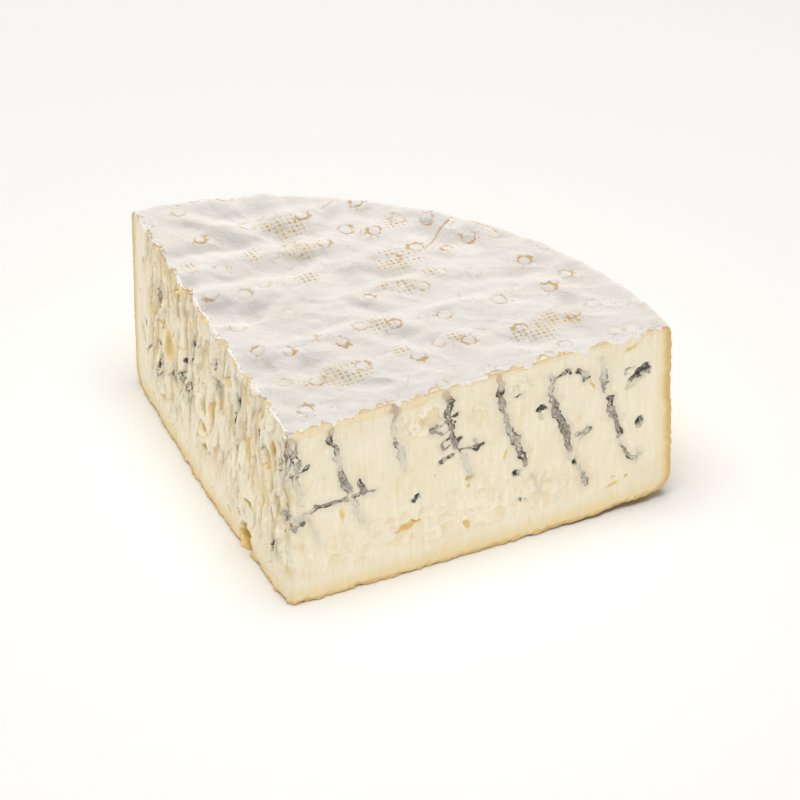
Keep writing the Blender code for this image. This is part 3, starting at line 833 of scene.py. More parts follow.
def core_drum(row_count):
    """Closed drum of whole-number levels, one column for each place round the wedge."""
    bm = bmesh.new()
    bmesh.ops.create_circle(bm, segments=DRUM_COLUMNS, radius=1.0)
    lowest = bm.edges[:]
    for up, levels in ((1, row_count + len(TOP_SHARES) - 1), (-1, len(UNDER_SHARES))):
        edges = lowest
        for level in range(1, levels + 1):
            edges = ring_out(bm, edges, up * level)
        bmesh.ops.contextual_create(bm, geom=edges)
    return bm


def shape_core(mesh, wedge):
    """Bends the drum into the rim, the underside and hidden walls behind both cut faces."""
    rows = core_levels(wedge)
    unit = read_points(mesh)
    turn = np.arctan2(unit[:, 1], unit[:, 0]) / (2.0 * math.pi)
    column = np.round(turn * DRUM_COLUMNS).astype(int) % DRUM_COLUMNS
    level = np.round(unit[:, 2]).astype(int)
    z = rows[np.clip(level, 0, len(rows) - 1)].copy()
    on_right = column < HIDDEN_COLUMNS
    on_left = column > HIDDEN_COLUMNS + RIM_COLUMNS
    hidden = on_right | on_left
    share = np.where(on_right, column, DRUM_COLUMNS - column) / HIDDEN_COLUMNS
    bearing = wedge.half * (1.0 - 2.0 * (column - HIDDEN_COLUMNS) / RIM_COLUMNS)
    bearing = np.clip(bearing, -wedge.half, wedge.half)
    bearing = np.where(on_left, -wedge.half, np.where(on_right, wedge.half, bearing))
    radius = wedge.rim_reach(bearing, z)
    first = CORE_SINK / math.tan(wedge.half)
    reach = np.where(hidden, first + (radius - first) * share, radius)
    sink = np.where(hidden, CORE_SINK * ease((radius - reach) / 5.0), 0.0)
    out_x = np.where(on_right, wedge.right_out[0], wedge.left_out[0])
    x = reach * np.sin(bearing) - out_x * sink
    y = reach * np.cos(bearing) - wedge.right_out[1] * sink
    fields = {"foot_gap": z, "rim_gap": radius - reach, "under_rind": wedge.height - z}
    below_rind = np.where(hidden, CORE_DROP * ease((radius - reach) / 4.0), 0.0)
    dropped = below_rind * ease((z - wedge.height + 8.0) / 7.0)
    z = z + wedge.settle(x, y, z) - dropped
    top = level - (len(rows) - 1)
    for step, (part, sunk) in enumerate(zip(TOP_SHARES, TOP_SINK), start=1):
        at = top == step
        draw_in(x, y, at, part)
        swell = wedge.top_relief(x[at], y[at]) * (step < len(TOP_SHARES))
        z[at] = wedge.height - sunk - below_rind[at] + swell
    for step, part in enumerate(UNDER_SHARES, start=1):
        at = level == -step
        draw_in(x, y, at, part)
        z[at] = wedge.curl(x[at], y[at])
    write_points(mesh, x, y + wedge.point_y, z)
    write_fields(mesh, fields)


# ---------------------------------------------------------------- rind

# Cells along the rind's grid, how far it stands out over the rim, and how far it keeps back from a cut edge.
RIND_CELLS = 282
RIND_PROUD = 0.38
EDGE_BACK = 0.25

# The rind's rounded edge, as steps out and shares of its drop, then its hidden underside, drawn in.
RIND_LIP = ((0.10, 0.15), (0.12, 0.55), (0.02, 1.0))
RIND_TURN_IN = (0.985, 0.95, 0.8, 0.5)

# The draining mat's rings, pressed in by this much, stand on a slanting grid, two to a cell.
MAT_SEED = 77
RING_RADIUS, RING_WIDTH, RING_DEPTH = 1.95, 0.45, 0.10
MAT_START = (0.4, 10.8)
MAT_STEP_BACK = (10.46, 10.39)
MAT_STEP_SIDE = (10.32, -9.99)
MAT_SECOND = (7.6, 2.97)

# Rings that printed strongly: step back, step sideways, which of the two.
STRONG_RINGS = (
    (5, -4, 0), (4, -4, 0), (1, -7, 0), (0, 0, 0), (3, -5, 0), (6, -2, 0), (0, -4, 0), (0, -2, 0), (2, -5, 0),
    (2, -6, 1), (2, -5, 1), (3, -5, 1), (4, -5, 1), (4, -4, 1), (3, -4, 1), (4, -3, 1), (3, -3, 1),
    (4, -2, 1), (5, -2, 1), (5, -3, 1), (2, -3, 1), (3, -2, 1), (3, -1, 1), (2, -2, 1), (2, -1, 1),
    (5, -1, 1), (4, -1, 1), (1, -1, 1), (0, -1, 1), (0, -6, 1), (0, -2, 1), (-1, -3, 1), (-1, -2, 1),
    (1, -7, 1), (1, -2, 1), (3, -6, 1),
)

# Patches where the mat's mesh also printed: sideways, from the point, half width.
DOT_PATCHES = (
    (-34, 88, 6), (-27, 79, 5), (-39, 86, 3), (-3, 84, 6.5), (1, 88, 4), (4, 73, 4.5), (-1, 72, 3),
    (5, 54.5, 5), (3, 29, 6), (8, 31, 3.5), (44, 67, 6), (40, 63, 3.5), (-38, 73, 4), (-21, 68, 4),
    (8, 83, 3), (-52, 62, 3), (19, 21, 3), (-9, 101, 4), (14, 45, 3), (25, 55.5, 3), (50, 75, 4),
    (45, 73, 3.5),
)

# Creases and scratches in the rind: sideways, from the point, half width, strength.
CREASES = (
    ((2.8, 92, .15, .6), (3.4, 97, .2, .9), (3.6, 103, .25, 1), (4.6, 108.5, .3, 1)),
    ((5.6, 104, .12, .6), (6.4, 109, .15, .8)),
    ((9, 108.6, .25, .9), (14, 107.6, .3, 1), (18.5, 105.6, .2, .8)),
    ((-29, 99, .2, .5), (-27, 104, .2, .6)),
    ((24, 62, .15, .3), (29, 61.5, .15, .4), (33, 63, .15, .3)),
    ((21, 30, .15, .3), (19.5, 36, .15, .4)),
    ((-34, 64, .15, .3), (-29, 66.5, .15, .4)),
)


def mat_rings(wedge):
    """Centres and strengths of the mat's rings inside the wedge."""
    rng = np.random.default_rng(MAT_SEED)
    rings = []
    for back, side, second in itertools.product(range(-1, 8), range(-9, 4), (0, 1)):
        x = MAT_START[0] + back * MAT_STEP_BACK[0] + side * MAT_STEP_SIDE[0] + second * MAT_SECOND[0]
        y = MAT_START[1] + back * MAT_STEP_BACK[1] + side * MAT_STEP_SIDE[1] + second * MAT_SECOND[1]
        x, y = x + rng.normal(0, 0.45), y + rng.normal(0, 0.45)
        strength = rng.uniform(0.0, 0.5)
        if (back, side, second) in STRONG_RINGS:
            strength = rng.uniform(0.7, 1.0)
        if math.hypot(x, y) < wedge.radius and abs(math.atan2(x, y)) < wedge.half:
            rings.append((x, y, strength, rng.uniform(0.88, 1.1), rng.uniform(0.0, 6.0)))
    return rings


def nearest_ring(wedge, x, y):
    """Gap to the middle of the nearest ring, its strength, and the place in its own turned frame."""
    nearest = np.full(len(x), FAR)
    ring_x, ring_y, mark = nearest, nearest, np.zeros(len(x))
    for middle_x, middle_y, strength, size, turn in mat_rings(wedge):
        c, s = math.cos(turn), math.sin(turn)
        off_x, off_y = (x - middle_x) * size, (y - middle_y) * size
        gap = np.hypot(off_x, off_y)
        closer = gap < nearest
        nearest = np.where(closer, gap, nearest)
        mark = np.where(closer, strength, mark)
        ring_x = np.where(closer, off_x * c - off_y * s, ring_x)
        ring_y = np.where(closer, off_x * s + off_y * c, ring_y)
    return nearest, mark, ring_x, ring_y


def mesh_print(x, y):
    """Where the mat's mesh printed, from 0 to 1."""
    dots = np.zeros(len(x))
    for patch_x, patch_y, half in DOT_PATCHES:
        dots = np.maximum(dots, ease(1.25 - np.hypot(x - patch_x, y - patch_y) / half))
    return dots


def turn_rind_down(wedge, x, y, z, level, across, away, bearing, to_end):
    """Rounds the rind's edge over, drops it and draws its hidden underside in."""
    on_left = across == 0.0
    on_right = (away == 0.0) & ~on_left
    corner = on_left & (away == 0.0)
    on_rim = ((across == 1.0) | (away == 1.0)) & ~(on_right & (across < 1.0)) & ~(on_left & (away < 1.0))
    ragged = unevenness(bearing * wedge.radius / 1.5, bearing * 0.0, 66, 2)
    drop = np.where(on_right | on_left, 0.9, 1.2)
    drop = np.where(on_rim, (1.7 + 1.3 * ragged) * (0.3 + 0.7 * ease(to_end / 6.0)), drop)
    out_x = np.where(on_right, wedge.right_out[0], np.where(on_left, wedge.left_out[0], np.sin(bearing)))
    out_y = np.where(on_right, wedge.right_out[1], np.where(on_left, wedge.left_out[1], np.cos(bearing)))
    out_x, out_y = np.where(corner, 0.0, out_x), np.where(corner, -1.0, out_y)
    for step, (out, down) in enumerate(RIND_LIP, start=1):
        at = level == step
        x[at] += out_x[at] * out
        y[at] += out_y[at] * out
        z[at] -= drop[at] * down
    for step, part in enumerate(RIND_TURN_IN, start=len(RIND_LIP) + 1):
        at = level == step
        draw_in(x, y, at, part)
        z[at] = wedge.height - wedge.rind + wedge.top_relief(x[at], y[at]) - 0.4


def shape_rind(mesh, wedge):
    """Bends the grid over the top of the wedge and stores where the mat printed."""
    column, row, level = read_grid(mesh, RIND_CELLS, RIND_CELLS)
    across, away = column / RIND_CELLS, row / RIND_CELLS
    outer = wedge.radius + RIND_PROUD
    x, y = wedge.place(across, away, outer)
    reach, bearing = np.hypot(x, y), np.arctan2(x, y)
    flare = wedge.flare(bearing, wedge.height)
    spread = 1.0 + flare / outer * (reach / outer) ** 4
    x, y = x * spread, y * spread
    to_right = reach * np.sin(wedge.half - bearing)
    to_left = reach * np.sin(wedge.half + bearing)
    to_end = np.minimum(to_right, to_left)
    pull_rim = 0.9 * ease(1.0 - to_end / 5.0) * ease(1.0 - (outer - reach) / 6.0)
    x, y = x - np.sin(bearing) * pull_rim, y - np.cos(bearing) * pull_rim
    to_rim = outer + flare - np.hypot(x, y)
    for side, out, to_face in ((1.0, wedge.right_out, to_right), (-1.0, wedge.left_out, to_left)):
        hang = fringe(reach, side) * ease((wedge.radius - reach) / 2.0)
        pull = (EDGE_BACK * ease(reach / 3.0) + np.maximum(-hang, 0.0)) * ease(1.0 - to_face / 7.0)
        x, y = x - out[0] * pull, y - out[1] * pull
    z = wedge.height + wedge.top_relief(x, y)
    bumps = 0.30 + 0.45 * unevenness(bearing * wedge.radius / 4.0, to_rim / 5.0, 67, 3)
    z = z + np.maximum(bumps, 0.0) * ease(1.0 - to_rim / 7.0) * ease(to_end / 4.0)
    shoulder = wedge.cap + RIND_PROUD
    fall = np.clip(1.0 - to_rim / shoulder, 0.0, 1.0)
    z = z + 0.05 - shoulder * (1.0 - np.sqrt(np.maximum(1.0 - fall * fall, 0.0))) * 0.92
    to_edge = np.minimum(to_end, to_rim)
    wrinkle = 0.055 * unevenness(x / 1.6 + y / 6.0, y / 2.6, 81, 2)
    wrinkle = wrinkle + 0.12 * unevenness(x / 5.0, y / 4.0, 82, 2)
    folds = np.abs(unevenness(x / 10.0 + y / 26.0, y / 6.5 - x / 40.0, 83, 2))
    wrinkle = wrinkle + 0.55 * (0.18 - np.minimum(folds, 0.5)) * ease((to_edge - 3.0) / 5.0)
    creases, crease_depth = gap_to_lines(x, y, CREASES)
    groove = 0.30 * crease_depth * ease(0.5 - creases / 0.5)
    ring_gap, ring_mark, ring_x, ring_y = nearest_ring(wedge, x, y)
    dots = mesh_print(x, y)
    press = RING_DEPTH * ring_mark * np.exp(-((ring_gap - RING_RADIUS) / RING_WIDTH) ** 2)
    dent = 0.04 * ease((1.6 - ring_gap) / 0.5) * ring_mark
    z = z + (wrinkle - groove - press + dent) * ease(to_edge)
    turn_rind_down(wedge, x, y, z, level, across, away, bearing, to_end)
    write_points(mesh, x, y + wedge.point_y, z)
    write_fields(mesh, {"ring_x": ring_x, "ring_y": ring_y, "ring_mark": ring_mark, "dot_mark": dots,
                        "crease_gap": creases, "crease_mark": crease_depth})


# ---------------------------------------------------------------- crumbs

# Bands where crumbs cling: piece, count, least and most gap under the rind, least and most size,
# and the share of white ones.
CRUMB_BANDS = (
    ("cut_face_left", 260, -1.0, 2.5, 0.16, 0.55, 0.25),
    ("cut_face_left", 230, 2.5, 50.0, 0.12, 0.40, 0.0),
    ("cut_face_right", 170, -1.0, 1.8, 0.12, 0.42, 0.45),
    ("cut_face_right", 90, 2.0, 45.0, 0.08, 0.26, 0.0),
)


CRUMB_SEED = 19
CRUMB_LOWEST = 0.004


def add_crumb(bm, rng, place, normal, size, white, mark):
    """One uneven crumb, half sunk in the surface it clings to."""
    made = bmesh.ops.create_icosphere(bm, subdivisions=2, radius=1.0)["verts"]
    turn = Euler(rng.uniform(0.0, 6.3, 3)).to_matrix()
    stretch = rng.uniform(0.55, 1.25, 3)
    phase = rng.uniform(0.0, 6.3, 3)
    for vert in made:
        wave = math.sin(3.1 * vert.co.x + phase[0]) * math.sin(3.7 * vert.co.y + phase[1])
        swell = 1.0 + 0.30 * wave + 0.18 * math.sin(5.3 * vert.co.z + phase[2])
        form = Vector((vert.co.x * stretch[0], vert.co.y * stretch[1], vert.co.z * stretch[2])) * swell
        vert.co = place + turn @ form * (size * MM) + normal * (0.35 * size * MM)
        vert[mark] = white


def scatter_crumbs(bm, rng, band):
    """Sets one band's crumbs on the vertices of its piece."""
    name, count, low, high, least, most, share = band
    mesh = bpy.data.objects[name].data
    under = read_field(mesh, "under_rind")
    front = (under > low) & (under < high) & (read_field(mesh, "rim_gap") > 3.0)
    chosen = rng.choice(np.nonzero(front)[0], count)
    mark = bm.verts.layers.float["white"]
    for index in chosen:
        vert = mesh.vertices[int(index)]
        if abs(vert.normal.z) < 0.98 and vert.co.z > CRUMB_LOWEST:
            size = least + (most - least) * rng.uniform(0.0, 1.0) ** 2.2
            white = 1.0 if rng.uniform(0.0, 1.0) < share else 0.0
            add_crumb(bm, rng, vert.co, vert.normal, size, white, mark)


# ---------------------------------------------------------------- materials

class Tree:
    """A short hand for building the nodes of one material or group."""

    def __init__(self, tree):
        self.tree = tree

    def fill(self, node, sockets):
        """Feeds each socket with a plain value or with the output of another node."""
        for key, value in sockets.items():
            if isinstance(value, bpy.types.NodeSocket):
                self.tree.links.new(value, node.inputs[key])
            else:
                node.inputs[key].default_value = value

    def node(self, kind, sockets=None, **settings):
        made = self.tree.nodes.new(kind)
        for key, value in settings.items():
            setattr(made, key, value)
        self.fill(made, sockets or {})
        return made

    def math(self, operation, first, second=0.0, clamp=False):
        made = self.node("ShaderNodeMath", {0: first, 1: second}, operation=operation, use_clamp=clamp)
        return made.outputs[0]

    def plus(self, first, second):
        return self.math("ADD", first, second)

    def minus(self, first, second):
        return self.math("SUBTRACT", first, second)

    def times(self, first, second, clamp=False):
        return self.math("MULTIPLY", first, second, clamp)

    def most(self, first, second):
        return self.math("MAXIMUM", first, second)

    def vector(self, operation, sockets, output="Vector"):
        return self.node("ShaderNodeVectorMath", sockets, operation=operation).outputs[output]

    def field(self, name):
        """A value that is stored on the mesh."""
        return self.node("ShaderNodeAttribute", attribute_name=name).outputs["Fac"]

    def frayed(self, name, grain, amount):
        """A stored value made ragged by a grain."""
        return self.plus(self.field(name), self.times(grain, amount))

    def place(self, stretch=(1.0, 1.0, 1.0), turn=0.0):
        """Object coordinates, turned about the upright and stretched."""
        coordinates = self.node("ShaderNodeTexCoord").outputs["Object"]
        sockets = {"Vector": coordinates, "Scale": stretch, "Rotation": (0.0, 0.0, turn)}
        return self.node("ShaderNodeMapping", sockets).outputs["Vector"]

    def noise(self, scale, detail=2.0, rough=0.5, vector=None):
        """Noise between 0 and 1, its scale in lumps a metre."""
        where = self.place() if vector is None else vector
        sockets = {"Scale": scale, "Detail": detail, "Roughness": rough, "Vector": where}
        return self.node("ShaderNodeTexNoise", sockets).outputs["Fac"]

    def grain(self, scale, detail=2.0, rough=0.5):
        """Noise about 0."""
        return self.minus(self.noise(scale, detail, rough), 0.5)

    def ramp(self, value, low, high, to_low=0.0, to_high=1.0):
        """Smooth step as a value goes from low to high."""
        sockets = {"Value": value, "From Min": low, "From Max": high, "To Min": to_low, "To Max": to_high}
        return self.node("ShaderNodeMapRange", sockets, interpolation_type="SMOOTHSTEP").outputs["Result"]

    def mix(self, amount, under, over):
        sockets = {"Factor": amount}
        for key, value in (("A", under), ("B", over)):
            sockets[key] = value if isinstance(value, bpy.types.NodeSocket) else (*value, 1.0)
        return self.node("ShaderNodeMix", sockets, data_type="RGBA").outputs["Result"]

    def tint(self, under, over, value, low, high, most=1.0):
        """Lays one colour over another as a value goes from low to high."""
        return self.mix(self.ramp(value, low, high, 0.0, most), under, over)

    def bump(self, height, strength, distance, before=None):
        sockets = {"Strength": strength, "Distance": distance, "Height": height}
        if before is not None:
            sockets["Normal"] = before
        return self.node("ShaderNodeBump", sockets).outputs["Normal"]


def new_material(name):
    """A material with its node helper and its Principled shader."""
    material = bpy.data.materials.new(name)
    material.use_nodes = True
    return material, Tree(material.node_tree), material.node_tree.nodes["Principled BSDF"]


def velvet_group():
    """Fine unevenness that every material of the cheese shares: a colour mask and a height."""
    group = bpy.data.node_groups.new("mould_velvet", "ShaderNodeTree")
    for name, side in (("Size", "INPUT"), ("Mask", "OUTPUT"), ("Height", "OUTPUT")):
        group.interface.new_socket(name, in_out=side, socket_type="NodeSocketFloat")
    tree = Tree(group)
    size = tree.node("NodeGroupInput").outputs["Size"]
    grown = tree.vector("SCALE", {0: tree.place(), "Scale": size})
    coarse = tree.noise(0.5, 3.0, 0.6, grown)
    fine = tree.noise(2.2, 4.0, 0.65, grown)
    height = tree.plus(tree.times(coarse, 0.45), tree.times(fine, 0.55))
    tree.node("NodeGroupOutput", {"Mask": coarse, "Height": height})
    return group


def shared_velvet():
    """The one velvet group, built when it is first asked for."""
    found = bpy.data.node_groups.get("mould_velvet")
    return found if found is not None else velvet_group()


def add_velvet(tree, size):
    """Mask and height of the velvet at one size, in lumps a metre."""
    made = tree.node("ShaderNodeGroup", {"Size": size}, node_tree=shared_velvet())
    return made.outputs["Mask"], made.outputs["Height"]


def paste_ground(tree, colours, cloud, streak):
    """Cream paste, with a painted highlight on raised smears and painted shade deeper in the recesses."""
    base = tree.tint(colours.paste, colours.paste_warm, cloud, 0.42, 0.75, 0.35)
    base = tree.tint(base, colours.paste_light, streak, 0.48, 0.70, 0.75)
    base = tree.tint(base, colours.paste_warm, streak, 0.42, 0.28, 0.40)
    # Painted shade: warm paste, then ochre where deepest, in low places; painted highlight: light paste where
    # the stored value is below 0.
    painted_shade_and_highlight = tree.field("painted_shade_and_highlight")
    base = tree.tint(base, colours.paste_warm, painted_shade_and_highlight, 0.0, 1.0, 0.75)
    base = tree.tint(base, colours.hollow, painted_shade_and_highlight, 0.45, 1.0, 0.35)
    return tree.tint(base, colours.paste_light, painted_shade_and_highlight, -0.05, -0.60, 0.65)


def crust_over(tree, base, colours, rag, cloud):
    """Golden paste and browned crust toward the rim and the foot."""
    wobble = tree.plus(tree.times(tree.minus(cloud, 0.5), 2.5), tree.times(rag, 0.9))
    rim = tree.plus(tree.field("rim_gap"), wobble)
    foot = tree.frayed("foot_gap", wobble, 0.6)
    gold = tree.most(tree.ramp(rim, 5.0, 0.8), tree.ramp(foot, 6.5, 0.6))
    base = tree.mix(tree.times(gold, 0.72), base, colours.crust_gold)
    brown = tree.most(tree.ramp(rim, 3.0, 0.4), tree.ramp(foot, 1.5, 0.0))
    return tree.mix(tree.times(brown, 0.85), base, colours.crust)


def vein_inside(tree, colours, dark, rag, crumbly):
    """Blotched grey mould with dark cracks and pale crumbs."""
    grey = tree.plus(dark, tree.times(tree.noise(640.0, 3.0, 0.6), 1.4))
    inside = tree.tint(colours.vein_pale, colours.vein_grey, grey, 0.95, 1.55)
    inside = tree.tint(inside, colours.vein_dark, grey, 1.55, 1.95, 0.75)
    cracks = tree.math("ABSOLUTE", tree.grain(300.0, 1.0))
    cracks = tree.times(tree.ramp(cracks, 0.020, 0.006), tree.ramp(dark, 0.3, 0.9))
    inside = tree.mix(cracks, inside, colours.vein_dark)
    crumbs = tree.most(tree.ramp(rag, 0.10, 0.16), tree.ramp(crumbly, 0.13, 0.18))
    return tree.mix(tree.times(crumbs, 0.75), inside, colours.paste_light)


def veins_over(tree, base, colours, rag, crumbly):
    """Stained paste, grey mould and a dark edge along every vein, and rust where it meets the rind."""
    dark = tree.field("vein_dark")
    edge = tree.plus(tree.frayed("vein_gap", rag, 0.5), tree.times(crumbly, 0.9))
    halo = tree.times(tree.ramp(edge, 2.2, 0.1, 0.0, 0.45), tree.ramp(dark, 0.0, 0.9, 0.5, 1.0))
    base = tree.mix(halo, base, colours.halo)
    filled = tree.times(tree.ramp(edge, 0.10, -0.25), tree.ramp(dark, 0.05, 0.55, 0.25, 0.92))
    base = tree.mix(filled, base, vein_inside(tree, colours, dark, rag, crumbly))
    width = tree.ramp(tree.noise(260.0, 2.0, 0.6), 0.40, 0.64, -0.14, 0.28)
    line = tree.minus(tree.math("ABSOLUTE", edge), width)
    line = tree.times(tree.ramp(line, 0.10, -0.06), tree.ramp(dark, 0.10, 0.65, 0.0, 0.96))
    base = tree.mix(line, base, colours.vein_dark)
    near_rind = tree.ramp(tree.field("under_rind"), 6.0, 1.5, 0.0, 0.75)
    return tree.mix(tree.times(tree.ramp(edge, 0.8, -0.4), near_rind), base, colours.rust)


def holes_over(tree, base, colours, rag, crumbly):
    """Pale mould round the holes, and dark green mould with pale spots inside them."""
    base = tree.tint(base, colours.hole_pale, tree.frayed("pale_gap", rag, 0.7), 0.3, -0.2, 0.6)
    hole = tree.plus(tree.frayed("hole_gap", rag, 1.3), tree.times(crumbly, 1.9))
    base = tree.tint(base, colours.hole_pale, hole, 0.7, 0.1, 0.5)
    flecks = tree.times(tree.ramp(hole, 0.9, 0.3), tree.ramp(crumbly, 0.04, 0.10, 0.0, 0.8))
    base = tree.mix(flecks, base, colours.paste_light)
    spots = tree.noise(380.0, 2.0, 0.6)
    mould = tree.tint(colours.hole_dark, colours.hole_pale, spots, 0.52, 0.64, 0.55)
    return tree.tint(base, mould, hole, 0.10, -0.25, 0.97)


def rind_edge_over(tree, base, colours, rag, crumbly):
    """White bloom where the rind hangs over a cut face, tan along its torn edge."""
    white = tree.frayed("rind_gap", rag, 1.2)
    fringed = tree.times(tree.ramp(white, 0.75, 0.15), tree.ramp(crumbly, 0.02, 0.12, 0.0, 0.8))
    base = tree.mix(fringed, base, colours.mat_print)
    base = tree.tint(base, colours.mat_print, tree.field("under_rind"), 0.5, 0.1, 0.55)
    return tree.tint(base, colours.bloom, white, 0.14, -0.10)


def paste_material(colours):
    """Cream paste with its crust, veins, holes and hollows."""
    material, tree, shader = new_material("blue_cheese_paste")
    rag = tree.grain(1300.0, 3.0, 0.6)
    crumbly = tree.grain(520.0, 2.0, 0.55)
    cloud = tree.noise(90.0, 3.0, 0.55)
    streak = tree.noise(1.0, 3.0, 0.6, tree.place((800.0, 800.0, 130.0)))
    base = paste_ground(tree, colours, cloud, streak)
    base = tree.tint(base, colours.crust_gold, tree.frayed("strip_gap", rag, 0.5), 0.35, -0.25, 0.42)
    base = crust_over(tree, base, colours, rag, cloud)
    base = tree.tint(base, colours.hollow, tree.frayed("warm_gap", rag, 0.5), 0.45, -0.15, 0.85)
    for layer in (veins_over, holes_over, rind_edge_over):
        base = layer(tree, base, colours, rag, crumbly)
    _, height = add_velvet(tree, 900.0)
    normal = tree.bump(height, 0.35, 0.00022, tree.bump(streak, 0.25, 0.00022))
    tree.fill(shader, {
        "Base Color": base,
        "Roughness": 0.36,
        "Specular IOR Level": 0.45,
        "Subsurface Weight": 0.30,
        "Subsurface Radius": (1.0, 0.65, 0.3),
        "Subsurface Scale": 0.001,
        "Normal": normal,
    })
    return material


def crust_material(colours):
    """Browned rim, golden where it is thin and dusted with bloom under the rind."""
    material, tree, shader = new_material("browned_crust")
    mask, height = add_velvet(tree, 420.0)
    cloud = tree.noise(120.0, 3.0, 0.6)
    base = tree.tint(colours.crust, colours.crust_gold, cloud, 0.38, 0.66)
    base = tree.tint(base, colours.paste_warm, mask, 0.50, 0.70, 0.5)
    dusty = tree.frayed("under_rind", tree.minus(mask, 0.5), 14.0)
    base = tree.tint(base, colours.bloom_shade, dusty, 7.0, 0.5, 0.55)
    normal = tree.bump(height, 0.5, 0.0005)
    tree.fill(shader, {"Base Color": base, "Roughness": 0.6, "Specular IOR Level": 0.3, "Normal": normal})
    return material


def printed_rings(tree, rag, broken):
    """Broken rings, thicker on one side, with a wreath of short dashes round each."""
    across = tree.frayed("ring_x", tree.grain(300.0), 2.6)
    away = tree.field("ring_y")
    gap = tree.math("SQRT", tree.plus(tree.times(across, across), tree.times(away, away)))
    petals = tree.math("COSINE", tree.times(tree.math("ARCTAN2", away, across), 8.0))
    side = tree.math("DIVIDE", across, gap)
    gap = tree.plus(gap, tree.times(rag, 1.1))
    thick = tree.plus(tree.times(petals, 0.07), tree.times(side, 0.38))
    thick = tree.plus(thick, tree.times(broken, 0.25))
    outer = tree.minus(gap, tree.plus(thick, 1.90))
    band = tree.times(tree.ramp(outer, 0.18, -0.18), tree.ramp(gap, 1.40, 1.62))
    arcs = tree.ramp(tree.noise(260.0, 2.0, 0.6), 0.42, 0.56)
    dashes = tree.times(tree.ramp(petals, 0.35, 0.8), tree.ramp(gap, 3.1, 2.7))
    dashes = tree.times(dashes, tree.ramp(gap, 2.35, 2.5))
    dashes = tree.times(dashes, tree.ramp(tree.noise(260.0, 1.0), 0.50, 0.58))
    printed = tree.most(tree.times(band, tree.plus(arcs, 0.20)), dashes)
    return tree.times(tree.times(printed, tree.field("ring_mark")), 1.1, clamp=True)


def printed_mesh(tree, rag, broken):
    """Small dots in slanting rows, where the mat's mesh printed too."""
    cell = tree.vector("FRACTION", {0: tree.place((680.0, 680.0, 0.0), math.radians(45.0))})
    centred = tree.vector("SUBTRACT", {0: cell, 1: (0.5, 0.5, 0.0)})
    reach = tree.vector("LENGTH", {0: centred}, "Value")
    dot = tree.ramp(tree.plus(reach, tree.times(rag, 0.45)), 0.36, 0.24)
    return tree.times(dot, tree.times(tree.field("dot_mark"), broken), clamp=True)


def rind_material(colours):
    """White bloom with the tan rings and mesh that the draining mat left."""
    material, tree, shader = new_material("white_mould_rind")
    mask, height = add_velvet(tree, 700.0)
    rag = tree.grain(900.0, 3.0, 0.6)
    patch = tree.noise(75.0, 3.0, 0.55)
    base = tree.mix(tree.ramp(patch, 0.42, 0.70, 0.06, 0.50), colours.bloom, colours.bloom_shade)
    base = tree.tint(base, colours.bloom_shade, mask, 0.5, 0.72, 0.25)
    broken = tree.ramp(tree.noise(420.0), 0.36, 0.52)
    marks = tree.most(printed_rings(tree, rag, broken), printed_mesh(tree, rag, broken))
    stain = tree.times(tree.ramp(tree.field("dot_mark"), 0.2, 1.0), tree.ramp(patch, 0.40, 0.60, 0.0, 0.35))
    base = tree.mix(stain, base, colours.mat_stain)
    base = tree.mix(tree.times(marks, 0.95), base, colours.mat_print)
    crease = tree.ramp(tree.frayed("crease_gap", rag, 0.5), 0.15, -0.1)
    crease = tree.times(tree.times(crease, tree.field("crease_mark")), 0.9)
    base = tree.mix(crease, base, colours.rust)
    normal = tree.bump(marks, 0.35, -0.00020, tree.bump(height, 0.70, 0.00045))
    tree.fill(shader, {
        "Base Color": base,
        "Roughness": 0.85,
        "Specular IOR Level": 0.2,
        "Sheen Weight": 0.15,
        "Normal": normal,
    })
    return material


def crumb_material(colours):
    """Cream crumbs, the ones near the rind dusted white."""
    material, tree, shader = new_material("cheese_crumb")
    mask, height = add_velvet(tree, 900.0)
    base = tree.tint(colours.paste_light, colours.crust_gold, mask, 0.35, 0.65)
    base = tree.mix(tree.field("white"), base, colours.bloom)
    tree.fill(shader, {"Base Color": base, "Roughness": 0.6, "Normal": tree.bump(height, 0.4, 0.0002)})
    return material


def floor_material(shade):
    """Plain matt floor."""
    material, tree, shader = new_material("pale_floor")
    tree.fill(shader, {"Base Color": (*shade, 1.0), "Roughness": 0.8})
    return material


# ---------------------------------------------------------------- operators

class CHEESE_OT_cut_faces(bpy.types.Operator):
    """Model both cut faces with their veins, holes and torn relief"""

    bl_idname = "cheese.cut_faces"
    bl_label = "Cut Faces"

    def execute(self, context):
        wedge = Wedge(context.scene.cheese_form)
        material = paste_material(context.scene.cheese_colours)
        for name, side in (("cut_face_right", 1.0), ("cut_face_left", -1.0)):
            mesh = mesh_from(name, grid_with_back(FACE_COLUMNS, FACE_ROWS + SHELF_ROWS, len(SLAB_STEPS)))
            shape_cut_face(mesh, wedge, side)
            face_outward(mesh)
            finish_piece(name, mesh, material)
        return {"FINISHED"}


class CHEESE_OT_rim(bpy.types.Operator):
    """Model the browned rim, the foot and the underside"""

    bl_idname = "cheese.rim"
    bl_label = "Rim"

    def execute(self, context):
        wedge = Wedge(context.scene.cheese_form)
        mesh = mesh_from("cheese_rim", core_drum(len(core_levels(wedge))))
        shape_core(mesh, wedge)
        face_outward(mesh)
        finish_piece("cheese_rim", mesh, crust_material(context.scene.cheese_colours))
        return {"FINISHED"}


